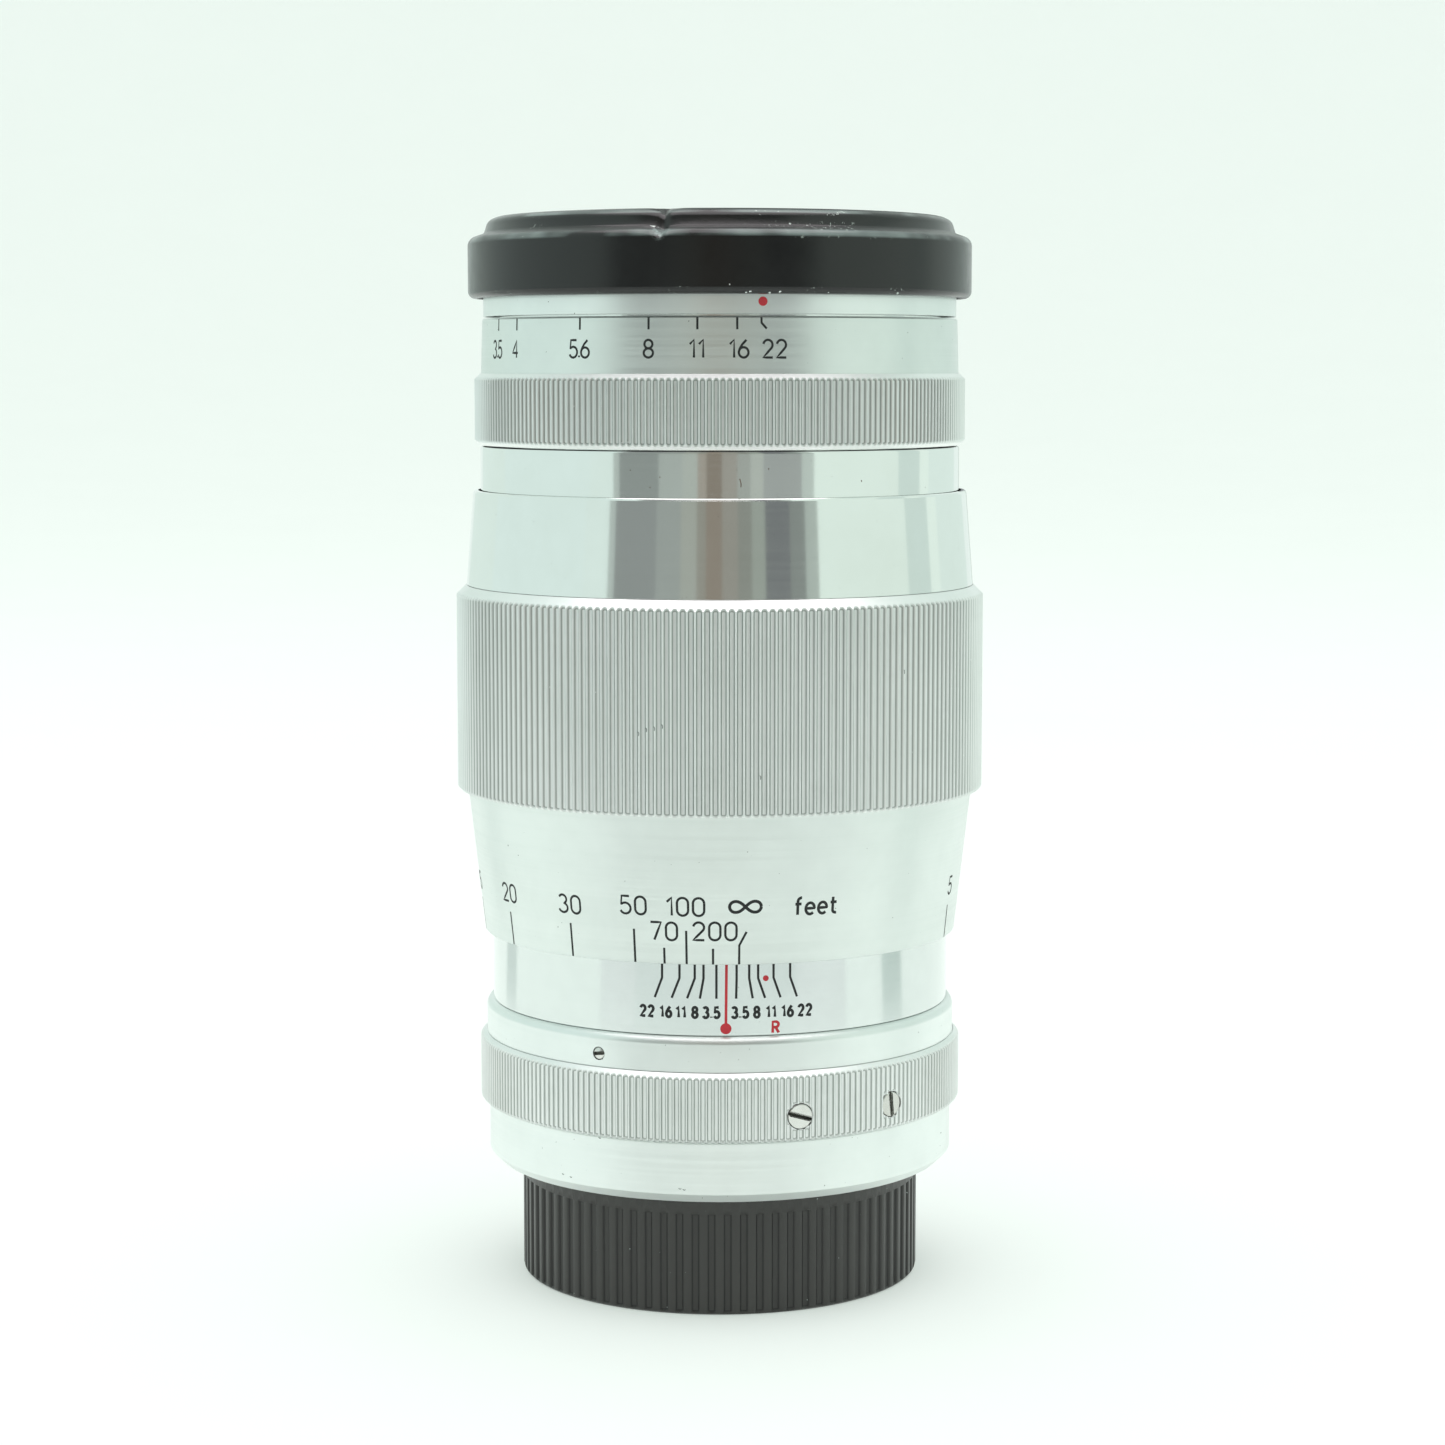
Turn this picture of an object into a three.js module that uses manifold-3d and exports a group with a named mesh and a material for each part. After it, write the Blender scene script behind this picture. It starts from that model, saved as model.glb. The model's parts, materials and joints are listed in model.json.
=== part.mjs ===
// A 135 mm f/3.5 lens with a 39 mm screw mount, standing on its rear cap with its front cap on.
// Millimetres, +Z along the optical axis towards the front, origin under the centre of the rear cap.
// Angles round the axis are in degrees from -Y, where the index line is, towards +X.
import * as THREE from "three";
import { mergeVertices } from "three/addons/utils/BufferGeometryUtils.js";
import Module from "manifold-3d";

const wasm = await Module();
wasm.setup();

// ---------------------------------------------------------------- driving dimensions

const gap = 0.3; // clearance between two separate pieces
const edge = 0.4; // broken edge on a turned corner
const outerSides = 36; // facets round a piece seen from outside
const innerSides = 24; // facets round a piece inside
const smallSides = 10; // facets round a screw or a pin

// Main barrel, which carries the depth-of-field scale. Radii outside it are steps out from it.
const depthBarrelRadius = 26.1;
const depthBarrelWall = 1.3;
const depthScaleHeight = 8; // length of the barrel left in sight under the focus ring
const clampRingStep = 0.75;
const clampRingHeight = 3.6;
const clampRingWall = 1.15;
const collarStep = 0.75;
const collarHeight = 7.5;
const collarWall = 1.9;
const collarBevel = 0.6;

// Lens mount: a base with a flange, a 39 mm threaded tail and a hub inside the collar.
const baseStep = 1; // the base is this much inside the collar
const baseHeight = 6.7;
const baseChamfer = 1;
const threadRadius = 19.5;
const tailLength = 4.6;
const tailWall = 1.9;

// Screw-on rear cap.
const rearCapHeight = 13.2;
const rearCapFloor = 1.2;
const rearCapWall = 2.7;
const rearCapFit = 0.6; // room round the threaded tail
const rearCapRibs = 80;
const ribDepth = 0.35;
const rearCapBand = 1.85; // plain band above the ribs

// Focus ring: a scale cone under a knurled grip.
const coneFootWall = 0.55;
const coneFlare = 1.85;
const coneHeight = 16.5;
const gripStep = 1.2;
const gripHeight = 21.8;
const gripBevel = 1.1;
const gripWall = 2.1;
const ledgeDrop = 9.3; // from the top of the focus ring down to the ledge that carries the nut
const ledgeThickness = 2;
const sleeveHeight = 10.4;
const sleeveLip = 0.53;
const sleeveSetback = 0.07; // the sleeve's foot is this much inside the top of the grip

// Focusing thread.
const nutWall = 1.8;
const nutFlange = 2.9;
const nutRingHeight = 2.1;
const barrelWall = 1.5;
const barrelFlange = 2.9;
const barrelRise = 3; // rear end of the lens barrel above the collar at infinity
const focusTravel = 14.7; // head movement from infinity to 5 feet
const focusTurn = 295;

// Lens head. Its radii are steps from the head's own radius.
const headStep = 1.07; // from the main barrel out to the head
const headSkirtWall = 0.97;
const headBand = 5; // part of the head in sight above the sleeve
const headTubeStep = 2.17;
const headTubeWall = 1.1;
const headWeb = 2;
const headWebStep = 4.4;
const apertureGripWall = 2.4;
const apertureGripHeight = 7.2;
const apertureGripBevel = 0.65;
const apertureBandWall = 1.65;
const apertureBandHeight = 6.1;
const apertureTurn = 74.4; // from f/22 to f/3.5
const frontRingStep = 0.3; // the front ring is this much inside the aperture band
const frontRingHeight = 7.7;
const frontRingSeat = 2.3; // height in sight below the cap
const filterWall = 2.75;
const headTubeEntry = 3.3; // how far the head tube stands up into the front ring

// Front cap.
const capStep = 1.7; // from the front ring out to the cap's skirt
const capDiscStep = 1.85; // from the skirt in to the disc
const capWall = 1.1;
const capLip = 0.35; // the skirt reaches this far below the seat
const capSkirt = 6.6;
const capShoulder = 0.85;
const capDisc = 1.65;
const liningThickness = 0.3;

// Iris.
const bladeCount = 10;
const openSetback = 7.5; // from the cells' outer radius in to the open iris
const closedRadius = 2.8;
const bladeWidth = 5.8;
const bladeThickness = 0.25;
const bladeStep = 0.5; // rise from one blade to the next
const bladeRound = 208; // degrees round the axis that a blade covers at f/22
const pivotSetout = 2.5; // from the open iris out to the pivots
const bladeTail = 6; // degrees of blade behind the pivot
const bladeReach = 111; // degrees of blade ahead of the pivot
const pivotPinRadius = 0.5;
const pivotPinLength = 1.2;
const housingPlate = 0.8;
const housingWall = 0.7;
const driveRingHeight = 1.8;
const driveScrewRadius = 0.7;
const driveScrewPlace = 100;

// Glass and its cells.
const frontCellWall = 2.9;
const frontCellLedge = 2.7;
const frontCellLedgeWidth = 3.1;
const thirdRim = 3.7;
const thirdHollow = 1.6;
const cementBulge = -1.1;
const secondRim = 2;
const secondBulge = 1.4;
const spacerHeight = 1.4;
const spacerWall = 1;
const frontRim = 1.8;
const frontBulge = 3.5;
const retainerWall = 1.1;
const rearCellWall = 5.2;
const rearCellHeight = 10.3;
const rearCellLip = 2.3;
const rearCellLipWidth = 1.5;
const rearCellRise = 25; // above the rear end of the lens barrel
const rearRim = 2.7;
const rearLowerBulge = -1;
const rearUpperBulge = 1.6;
const rearRetainerHeight = 1.6;
const baffleRise = 21;
const baffleWidth = 3.7;
const baffleThickness = 1.2;

// Rangefinder cam tube.
const camWall = 0.8;
const camReach = 7.5; // how far it stands out of the flange
const camFlange = 1.5;

// Guide keys, which stop the lens barrel turning.
const keyWidth = 4;
const keyThickness = 1;
const keyHold = 4.3; // length still in the barrel at the near end of focus
const keyPlace = 43.5;

// Screws.
const screwHeadRadius = 1.4;
const screwHeadHeight = 1.35;
const screwShankRadius = 0.8;
const screwHeight = 2.6; // centre above the foot of the collar
const collarScrewPlace = 18.6;
const clampScrewRadius = 0.65;
const clampScrewPlace = -29.4;
const stopScrewRadius = 1;
const stopPlace = 180;

// ---------------------------------------------------------------- radii that follow from fits

const clampRingRadius = depthBarrelRadius + clampRingStep;
const collarRadius = clampRingRadius + collarStep;
const baseRadius = collarRadius - baseStep;
const rearCapBore = threadRadius + rearCapFit;
const rearCapRadius = rearCapBore + rearCapWall;
const mountBore = threadRadius - tailWall;
const camRadius = mountBore - 4 * gap / 3;
const hubRadius = collarRadius - collarWall - gap;
const depthBarrelBore = depthBarrelRadius - depthBarrelWall;
const focusRingBore = depthBarrelRadius + gap;
const coneFootRadius = focusRingBore + coneFootWall;
const coneTopRadius = coneFootRadius + coneFlare;
const gripRadius = coneTopRadius + gripStep;
const gripBore = gripRadius - gripWall;
const nutRadius = depthBarrelBore - gap;
const nutBore = nutRadius - nutWall;
const barrelRadius = nutBore - 4 * gap / 3;
const barrelBore = barrelRadius - barrelWall;
const keyRadius = (barrelRadius + barrelBore) / 2;
const camFlangeRadius = keyRadius - keyThickness / 2 - 2 * gap;
const headRadius = depthBarrelRadius + headStep;
const headSkirtBore = headRadius - headSkirtWall;
const headTubeRadius = headRadius - headTubeStep;
const headTubeBore = headTubeRadius - headTubeWall;
const headWebBore = headTubeBore - headWebStep;
const insideHeadTube = headTubeBore - 4 * gap / 3;
const sleeveBore = headRadius + gap;
const sleeveTopRadius = sleeveBore + sleeveLip;
const sleeveFootRadius = gripRadius - gripBevel - sleeveSetback;
const spigotRadius = sleeveBore + 2 * gap;
const ledgeBore = spigotRadius + gap;
const apertureBore = headTubeRadius + 4 * gap / 3;
const apertureGripRadius = apertureBore + apertureGripWall;
const apertureBandRadius = apertureBore + apertureBandWall;
const frontRingRadius = apertureBandRadius - frontRingStep;
const filterBore = frontRingRadius - filterWall;
const frontGlassRadius = insideHeadTube - frontCellWall - gap;
const frontCellBore = frontGlassRadius + gap;
const frontCellLedgeBore = frontGlassRadius - frontCellLedgeWidth;
const rearCellRadius = barrelBore - gap;
const rearCellBore = rearCellRadius - rearCellWall;
const rearGlassRadius = rearCellBore - gap;
const capRadius = frontRingRadius + capStep;
const capDiscRadius = capRadius - capDiscStep;
const capBore = capRadius - capWall;
const liningRadius = capBore - gap;
const liningBore = liningRadius - liningThickness;
const capSeatRadius = liningBore - gap;
const openRadius = insideHeadTube - openSetback;
const pivotRadius = openRadius + pivotSetout;
const irisBore = openRadius + 3 * gap;

// ---------------------------------------------------------------- stations along the axis

const flangeZ = rearCapHeight + gap;
const baseTopZ = flangeZ + baseHeight;
const collarZ = baseTopZ + gap;
const collarTopZ = collarZ + collarHeight;
const hubTopZ = collarTopZ - 2 * edge;
const clampRingZ = collarTopZ + gap;
const clampRingTopZ = clampRingZ + clampRingHeight;
const barrelZ = collarTopZ + barrelRise;
const nutFootZ = barrelZ + nutRingHeight + gap;
const keyTopZ = barrelZ + focusTravel + keyHold;
const keyFootZ = baseTopZ + 2 * edge;
const screwLineZ = collarZ + screwHeight;
const focusRingZ = clampRingTopZ + depthScaleHeight;
const gripZ = focusRingZ + coneHeight;
const focusTopZ = gripZ + gripHeight + gripBevel;
const ledgeZ = focusTopZ - ledgeDrop;
const stopScrewZ = ledgeZ - ledgeThickness - 3 * stopScrewRadius;
const nutTopZ = ledgeZ + gap + nutFlange;
const sleeveZ = nutTopZ + gap;
const sleeveTopZ = focusTopZ + gap + sleeveHeight;
const headSkirtZ = nutTopZ + 2 * gap;
const headBandTopZ = sleeveTopZ + headBand;
const apertureRingZ = headBandTopZ + gap;
const apertureTopZ = apertureRingZ + apertureGripHeight + apertureGripBevel + apertureBandHeight;
const frontRingZ = apertureTopZ + gap;
const headTubeTopZ = frontRingZ + headTubeEntry;
const driveRingZ = apertureRingZ + 2 * gap;
const driveScrewZ = driveRingZ + driveRingHeight / 2;
const bladeClimb = bladeStep * bladeCount * bladeRound / 360;
const bladeZ = driveRingZ - 3 * gap - bladeThickness - bladeClimb;
const housingZ = bladeZ - 2 * gap - housingPlate;
const housingHeight = driveRingZ - gap - housingZ;
const webTopZ = housingZ - gap;
const webZ = webTopZ - headWeb;
const barrelTopZ = webZ - gap;
const frontCellZ = driveRingZ + driveRingHeight + 2 * gap;
const frontCellTopZ = headTubeTopZ - gap / 3;
const thirdZ = frontCellZ + frontCellLedge + gap;
const secondZ = thirdZ + thirdRim + gap;
const spacerZ = secondZ + secondRim + gap;
const frontElementZ = spacerZ + spacerHeight + gap;
const frontRetainerZ = frontElementZ + frontRim + 2 * gap;
const rearCellZ = barrelZ + rearCellRise;
const rearElementZ = rearCellZ + rearCellHeight - rearCellLip - 2 * gap - rearRim;
const rearRetainerZ = rearElementZ - 2 * gap - rearRetainerHeight;
const baffleZ = barrelZ + baffleRise;
const capZ = frontRingZ + frontRingSeat - capLip;

// ---------------------------------------------------------------- materials

const finish = (colour, roughness, metalness) =>
  new THREE.MeshStandardMaterial({ color: colour, roughness: roughness, metalness: metalness });

const polishedAluminium = () => finish("#b4b9b4", 0.18, 1);
const satinAluminium = () => finish("#c3cac4", 0.42, 1);
const knurledAluminium = () => finish("#aab4ae", 0.35, 1);
const blackAnodised = () => finish("#1d1e1f", 0.5, 0.6);
const nickelSteel = () => finish("#c9c8c0", 0.25, 1);
const turnedBrass = () => finish("#b08d4a", 0.3, 1);
const bluedSteel = () => finish("#24262b", 0.4, 0.8);
const coatedGlass = () => finish("#b9c4dd", 0.05, 0);
const blackEnamel = () => finish("#26282a", 0.35, 0.2);
const blackPlastic = () => finish("#3b3d3c", 0.6, 0);
const blackFelt = () => finish("#17171a", 0.95, 0);

// ---------------------------------------------------------------- shape helpers

const radians = THREE.MathUtils.degToRad;

// A ring or disc turned round Z from an anticlockwise outline of [radius, height] points.
function turned(outline, sides) {
  const points = outline.map(([radius, height]) => new THREE.Vector2(radius, height));
  const open = outline[0][0] === 0 && outline.at(-1)[0] === 0;
  if (!open) points.push(points[0].clone());
  return new THREE.LatheGeometry(points, sides).rotateX(Math.PI / 2);
}

// A plain ring with a rectangular section.
function plainRing(radius, bore, height, sides) {
  return turned([[bore, 0], [radius, 0], [radius, height], [bore, height]], sides);
}

// A block that follows the circle between two places round the axis.
function arcBlock(bore, radius, height, from, to) {
  const steps = Math.max(2, Math.ceil((to - from) / 10));
  const along = [...Array(steps + 1).keys()].map((i) => radians(from + (to - from) * i / steps));
  const spot = (r, a) => new THREE.Vector2(r * Math.sin(a), -r * Math.cos(a));
  const outline = [...along.map((a) => spot(radius, a)), ...along.reverse().map((a) => spot(bore, a))];
  return new THREE.ExtrudeGeometry(new THREE.Shape(outline), { depth: height, bevelEnabled: false });
}

// Moves a shape that points along +Z so that it points out of the axis at one place and height.
function facingOut(geometry, startRadius, place, height) {
  return geometry
    .translate(0, 0, startRadius)
    .rotateX(Math.PI / 2)
    .rotateZ(radians(place))
    .translate(0, 0, height);
}

// A round bar or hole that runs out from the axis.
function radialBar(radius, fromRadius, toRadius, place, height) {
  const length = toRadius - fromRadius;
  const bar = turned([[0, 0], [radius, 0], [radius, length], [0, length]], smallSides);
  return facingOut(bar, fromRadius, place, height);
}

// A box that runs up the wall of a tube, for keys and keyways.
function keyBox(width, bore, radius, height, place) {
  return new THREE.BoxGeometry(width, radius - bore, height)
    .translate(0, -(radius + bore) / 2, height / 2)
    .rotateZ(radians(place));
}

function solidOf(geometry) {
  const bare = geometry.clone();
  bare.deleteAttribute("normal");
  bare.deleteAttribute("uv");
  const merged = mergeVertices(bare, 1e-4);
  return new wasm.Manifold(
    new wasm.Mesh({
      numProp: 3,
      vertProperties: merged.attributes.position.array,
      triVerts: new Uint32Array(merged.index.array),
    }),
  );
}

function geometryOf(solid) {
  const mesh = solid.getMesh();
  const geometry = new THREE.BufferGeometry();
  geometry.setAttribute("position", new THREE.BufferAttribute(mesh.vertProperties, 3));
  geometry.setIndex(new THREE.BufferAttribute(mesh.triVerts, 1));
  geometry.computeVertexNormals();
  return geometry;
}

const cut = (geometry, tools) =>
  geometryOf(tools.reduce((solid, tool) => solid.subtract(solidOf(tool)), solidOf(geometry)));

const joined = (geometry, others) =>
  geometryOf(others.reduce((solid, other) => solid.add(solidOf(other)), solidOf(geometry)));

// Adds a named piece to a group, with its own foot at the given height.
function addPiece(group, name, geometry, material, height = 0) {
  const mesh = new THREE.Mesh(geometry, material);
  mesh.name = name;
  mesh.position.z = height;
  group.add(mesh);
  return mesh;
}

// ---------------------------------------------------------------- screws

const threeRound = (place) => [place, place + 120, place + 240];
const twoRound = (place) => [place, place + 180];

// A slotted cheese-head screw along +Z, with the end of its shank at z = 0.
function slottedScrew(shankRadius, shankLength, headRadius, headHeight, slotTurn) {
  const top = shankLength + headHeight;
  const body = turned(
    [[0, 0], [shankRadius, 0], [shankRadius, shankLength], [headRadius, shankLength],
      [headRadius, top], [0, top]],
    smallSides,
  );
  const slot = new THREE.BoxGeometry(3 * headRadius, 0.3 * headRadius, headHeight)
    .translate(0, 0, top + headHeight / 6)
    .rotateZ(radians(slotTurn));
  return cut(body, [slot]);
}

// A headless slotted screw along +Z.
function setScrew(radius, length, slotTurn) {
  const body = turned([[0, 0], [radius, 0], [radius, length], [0, length]], smallSides);
  const slot = new THREE.BoxGeometry(3 * radius, 0.4 * radius, length)
    .translate(0, 0, length * 1.2)
    .rotateZ(radians(slotTurn));
  return cut(body, [slot]);
}

// ---------------------------------------------------------------- rear cap

// The ribbed outline, with a rib and a groove of equal width in each pitch.
function ribbedShape() {
  const pitch = 2 * Math.PI / rearCapRibs;
  const outline = [];
  for (let i = 0; i < rearCapRibs; i += 1) {
    for (const [share, radius] of [
      [-0.25, rearCapRadius],
      [0.25, rearCapRadius],
      [0.3, rearCapRadius - ribDepth],
      [0.7, rearCapRadius - ribDepth],
    ]) {
      const angle = (i + share) * pitch;
      outline.push(new THREE.Vector2(radius * Math.cos(angle), radius * Math.sin(angle)));
    }
  }
  return new THREE.Shape(outline);
}

function rearCap() {
  const ribbed = new THREE.ExtrudeGeometry(ribbedShape(), {
    depth: rearCapHeight - rearCapBand,
    bevelEnabled: false,
  });
  const bandFoot = rearCapHeight - rearCapBand - edge;
  const band = turned(
    [[0, bandFoot], [rearCapRadius - ribDepth, bandFoot], [rearCapRadius, bandFoot + edge],
      [rearCapRadius, rearCapHeight], [0, rearCapHeight]],
    outerSides,
  );
  const inside = turned(
    [[0, rearCapFloor], [rearCapBore, rearCapFloor], [rearCapBore, rearCapHeight + 1],
      [0, rearCapHeight + 1]],
    outerSides,
  );
  return cut(joined(ribbed, [band]), [inside]);
}

// ---------------------------------------------------------------- fixed pieces

const screwFaceRadius = collarRadius - gap;
const screwSeatRadius = screwFaceRadius - screwHeadHeight;
const pocketBore = keyRadius - keyThickness / 2 - gap;
const pocketRadius = keyRadius + keyThickness / 2 + gap;

function lensMount() {
  const bottom = flangeZ - tailLength;
  const body = turned(
    [[mountBore, bottom], [threadRadius - edge, bottom], [threadRadius, bottom + edge],
      [threadRadius, flangeZ], [baseRadius - baseChamfer, flangeZ], [baseRadius, flangeZ + baseChamfer],
      [baseRadius, baseTopZ], [hubRadius, baseTopZ], [hubRadius, hubTopZ], [mountBore, hubTopZ]],
    outerSides,
  );
  const pocketFoot = keyFootZ - gap;
  const pockets = twoRound(keyPlace).map((place) =>
    keyBox(keyWidth + 2 * gap, pocketBore, pocketRadius, hubTopZ - pocketFoot + 1, place)
      .translate(0, 0, pocketFoot),
  );
  const holes = [...threeRound(collarScrewPlace), ...twoRound(keyPlace)].map((place) =>
    radialBar(screwShankRadius + gap, pocketRadius - gap, hubRadius + 1, place, screwLineZ),
  );
  return cut(body, [...pockets, ...holes]);
}

function mountCollar() {
  const bore = collarRadius - collarWall;
  const ring = turned(
    [[bore, 0], [collarRadius, 0], [collarRadius, collarHeight - collarBevel],
      [collarRadius - collarBevel, collarHeight], [bore, collarHeight]],
    outerSides,
  );
  const holes = [...threeRound(collarScrewPlace), ...twoRound(keyPlace)].map((place) =>
    radialBar(screwHeadRadius + gap, bore - 1, collarRadius + 1, place, screwHeight),
  );
  return cut(ring, holes);
}

function clampRing() {
  const bore = clampRingRadius - clampRingWall;
  const bevel = clampRingRadius - depthBarrelRadius;
  const ring = turned(
    [[bore, 0], [clampRingRadius, 0], [clampRingRadius, clampRingHeight - bevel],
      [clampRingRadius - bevel / 3, clampRingHeight - bevel / 3],
      [depthBarrelRadius, clampRingHeight], [bore, clampRingHeight]],
    outerSides,
  );
  const holes = threeRound(clampScrewPlace).map((place) =>
    radialBar(clampScrewRadius + gap, bore - 1, clampRingRadius + 1, place, clampRingHeight / 3),
  );
  return cut(ring, holes);
}

// The barrel that carries the depth-of-field scale. Its neck stands inside the clamp ring on the hub.
function depthBarrel() {
  const neckRadius = clampRingRadius - clampRingWall - gap;
  const pocketBottom = hubTopZ + gap;
  const pocketTop = nutFootZ + gap;
  return turned(
    [[depthBarrelBore + gap, pocketBottom], [neckRadius, pocketBottom], [neckRadius, clampRingTopZ + gap],
      [depthBarrelRadius, clampRingTopZ + gap], [depthBarrelRadius, ledgeZ], [depthBarrelBore, ledgeZ],
      [depthBarrelBore, pocketTop], [depthBarrelBore + gap, pocketTop]],
    outerSides,
  );
}

function guideKey(place) {
  const height = keyTopZ - keyFootZ;
  return keyBox(keyWidth, keyRadius - keyThickness / 2, keyRadius + keyThickness / 2, height, place);
}

// The block that the stop screw meets at infinity and again at the near end.
function focusStop() {
  const halfScrew = THREE.MathUtils.radToDeg(stopScrewRadius / depthBarrelRadius);
  const from = stopPlace + focusTurn - 360 + halfScrew + 1.5 * gap;
  const to = stopPlace - halfScrew - 1.5 * gap;
  return arcBlock(depthBarrelRadius + gap, gripBore - gap, 2 * stopScrewRadius, from, to);
}

// ---------------------------------------------------------------- focusing pieces

function focusRing() {
  const coneBoreTop = coneHeight + edge;
  const ledge = ledgeZ - focusRingZ;
  const top = focusTopZ - focusRingZ;
  const body = turned(
    [[focusRingBore, 0], [coneFootRadius, 0], [coneTopRadius, coneHeight - edge], [coneTopRadius, coneHeight],
      [gripRadius, coneHeight], [gripRadius, coneHeight + gripHeight],
      [gripRadius - gripBevel, top], [ledgeBore, top], [ledgeBore, ledge], [focusRingBore, ledge],
      [focusRingBore, ledge - ledgeThickness], [gripBore, ledge - ledgeThickness], [gripBore, coneBoreTop],
      [focusRingBore, coneBoreTop]],
    outerSides,
  );
  const hole = radialBar(
    stopScrewRadius + gap, gripBore - 1, gripRadius - 0.5, stopPlace, stopScrewZ - focusRingZ,
  );
  return cut(body, [hole]);
}

// Tapered sleeve with a spigot that clamps the nut inside the focus ring.
function frontSleeve() {
  const collar = focusTopZ + gap - sleeveZ;
  const top = sleeveTopZ - sleeveZ;
  return turned(
    [[sleeveBore, 0], [spigotRadius, 0], [spigotRadius, collar], [sleeveFootRadius, collar],
      [sleeveTopRadius, top - edge / 2], [sleeveTopRadius - edge / 2, top], [sleeveBore, top]],
    outerSides,
  );
}

function focusNut() {
  const flange = nutTopZ - nutFlange - nutFootZ;
  return turned(
    [[nutBore, 0], [nutRadius, 0], [nutRadius, flange], [spigotRadius, flange],
      [spigotRadius, nutTopZ - nutFootZ], [nutBore, nutTopZ - nutFootZ]],
    innerSides,
  );
}

// ---------------------------------------------------------------- lens head

function lensBarrel() {
  const top = barrelTopZ - barrelZ;
  const body = turned(
    [[barrelBore, 0], [barrelRadius, 0], [barrelRadius, top - barrelFlange],
      [headSkirtBore - gap, top - barrelFlange], [headSkirtBore - gap, top], [barrelBore, top]],
    innerSides,
  );
  const keyway = keyTopZ + 2 * gap - barrelZ;
  const slots = twoRound(keyPlace).map((place) =>
    keyBox(keyWidth + 2 * gap, barrelBore - 1, barrelRadius + 1, keyway + 1, place).translate(0, 0, -1),
  );
  return cut(body, slots);
}

function headBarrel() {
  const at = (height) => height - headSkirtZ;
  const body = turned(
    [[headSkirtBore, 0], [headRadius, 0], [headRadius, at(headBandTopZ) - edge],
      [headRadius - edge, at(headBandTopZ)], [headTubeRadius, at(headBandTopZ)],
      [headTubeRadius, at(headTubeTopZ)], [headTubeBore, at(headTubeTopZ)], [headTubeBore, at(webTopZ)],
      [headWebBore, at(webTopZ)], [headWebBore, at(webZ)], [headSkirtBore, at(webZ)]],
    outerSides,
  );
  const margin = 5;
  const slot = arcBlock(
    headTubeBore - 0.5, headTubeRadius + 0.5, driveRingHeight + 2 * gap / 3,
    driveScrewPlace - margin, driveScrewPlace + apertureTurn + margin,
  ).translate(0, 0, at(driveRingZ) - gap / 3);
  return cut(body, [slot]);
}

function frontRing() {
  const tubeTop = headTubeTopZ + gap - frontRingZ;
  return turned(
    [[headTubeRadius + gap, 0], [frontRingRadius, 0], [frontRingRadius, frontRingSeat],
      [capSeatRadius, frontRingSeat], [capSeatRadius, frontRingHeight - edge],
      [capSeatRadius - edge, frontRingHeight], [filterBore, frontRingHeight], [filterBore, tubeTop],
      [headTubeRadius + gap, tubeTop]],
    outerSides,
  );
}

function nameRing() {
  return turned(
    [[frontGlassRadius - 4 * edge, 0], [filterBore - gap, 0], [filterBore - gap, 3 * edge],
      [filterBore - 1.5, 3 * edge], [frontGlassRadius - 4 * edge, edge]],
    innerSides,
  );
}

function frontCell() {
  const top = frontCellTopZ - frontCellZ;
  return turned(
    [[frontCellLedgeBore, 0], [insideHeadTube, 0], [insideHeadTube, top], [frontCellBore, top],
      [frontCellBore, frontCellLedge], [frontCellLedgeBore, frontCellLedge]],
    innerSides,
  );
}

function rearCell() {
  const lip = rearCellHeight - rearCellLip;
  const lipBore = rearCellBore - rearCellLipWidth;
  return turned(
    [[rearCellBore, 0], [rearCellRadius, 0], [rearCellRadius, rearCellHeight], [lipBore, rearCellHeight],
      [lipBore, lip], [rearCellBore, lip]],
    innerSides,
  );
}

// ---------------------------------------------------------------- glass

// Points across one spherical face from the axis out to the rim; bulge is the height at the axis.
function faceLine(radius, bulge, rimHeight) {
  if (bulge === 0) return [[0, rimHeight], [radius, rimHeight]];
  const sphere = (radius ** 2 + bulge ** 2) / (2 * Math.abs(bulge));
  return [0, 0.35, 0.7, 1].map((share) => {
    const r = share * radius;
    const rise = Math.sqrt(sphere ** 2 - r ** 2) - (sphere - Math.abs(bulge));
    return [r, rimHeight + Math.sign(bulge) * rise];
  });
}

// A lens element with a rim from z = 0 to rimHeight; positive bulges point up.
function element(radius, rimHeight, lowerBulge, upperBulge, lowerRadius = radius) {
  const lower = faceLine(lowerRadius, lowerBulge, 0);
  if (lowerRadius < radius) lower.push([radius, 0]);
  const upper = faceLine(radius, upperBulge, rimHeight).reverse();
  return turned([...lower, ...upper], innerSides);
}

// ---------------------------------------------------------------- iris

const degreesOf = THREE.MathUtils.radToDeg;

// Swing of a blade from f/3.5, where its inner edge is concentric with the lens, to f/22.
const closeTurn = 2 * Math.asin((openRadius - closedRadius) / (2 * pivotRadius));

// Bends a flat strip into one blade at f/22: an arc band swung in about its pivot, climbing round the axis.
function bladeStrip() {
  const arc = bladeTail + bladeReach;
  const strip = new THREE.BoxGeometry(arc, bladeWidth, bladeThickness, 12, 2, 1);
  const position = strip.attributes.position;
  for (let i = 0; i < position.count; i += 1) {
    const along = radians(position.getX(i) + arc / 2 - bladeTail);
    const radius = openRadius + bladeWidth / 2 + position.getY(i);
    const x = radius * Math.cos(along) - pivotRadius;
    const y = -radius * Math.sin(along);
    const swungX = x * Math.cos(closeTurn) + y * Math.sin(closeTurn) + pivotRadius;
    const swungY = y * Math.cos(closeTurn) - x * Math.sin(closeTurn);
    const behind = -degreesOf(Math.atan2(swungY, swungX));
    const round = behind < -30 ? behind + 360 : behind;
    const climb = bladeStep * bladeCount * round / 360;
    position.setXYZ(i, swungX, swungY, climb + position.getZ(i) + bladeThickness / 2);
  }
  return strip;
}

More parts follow.
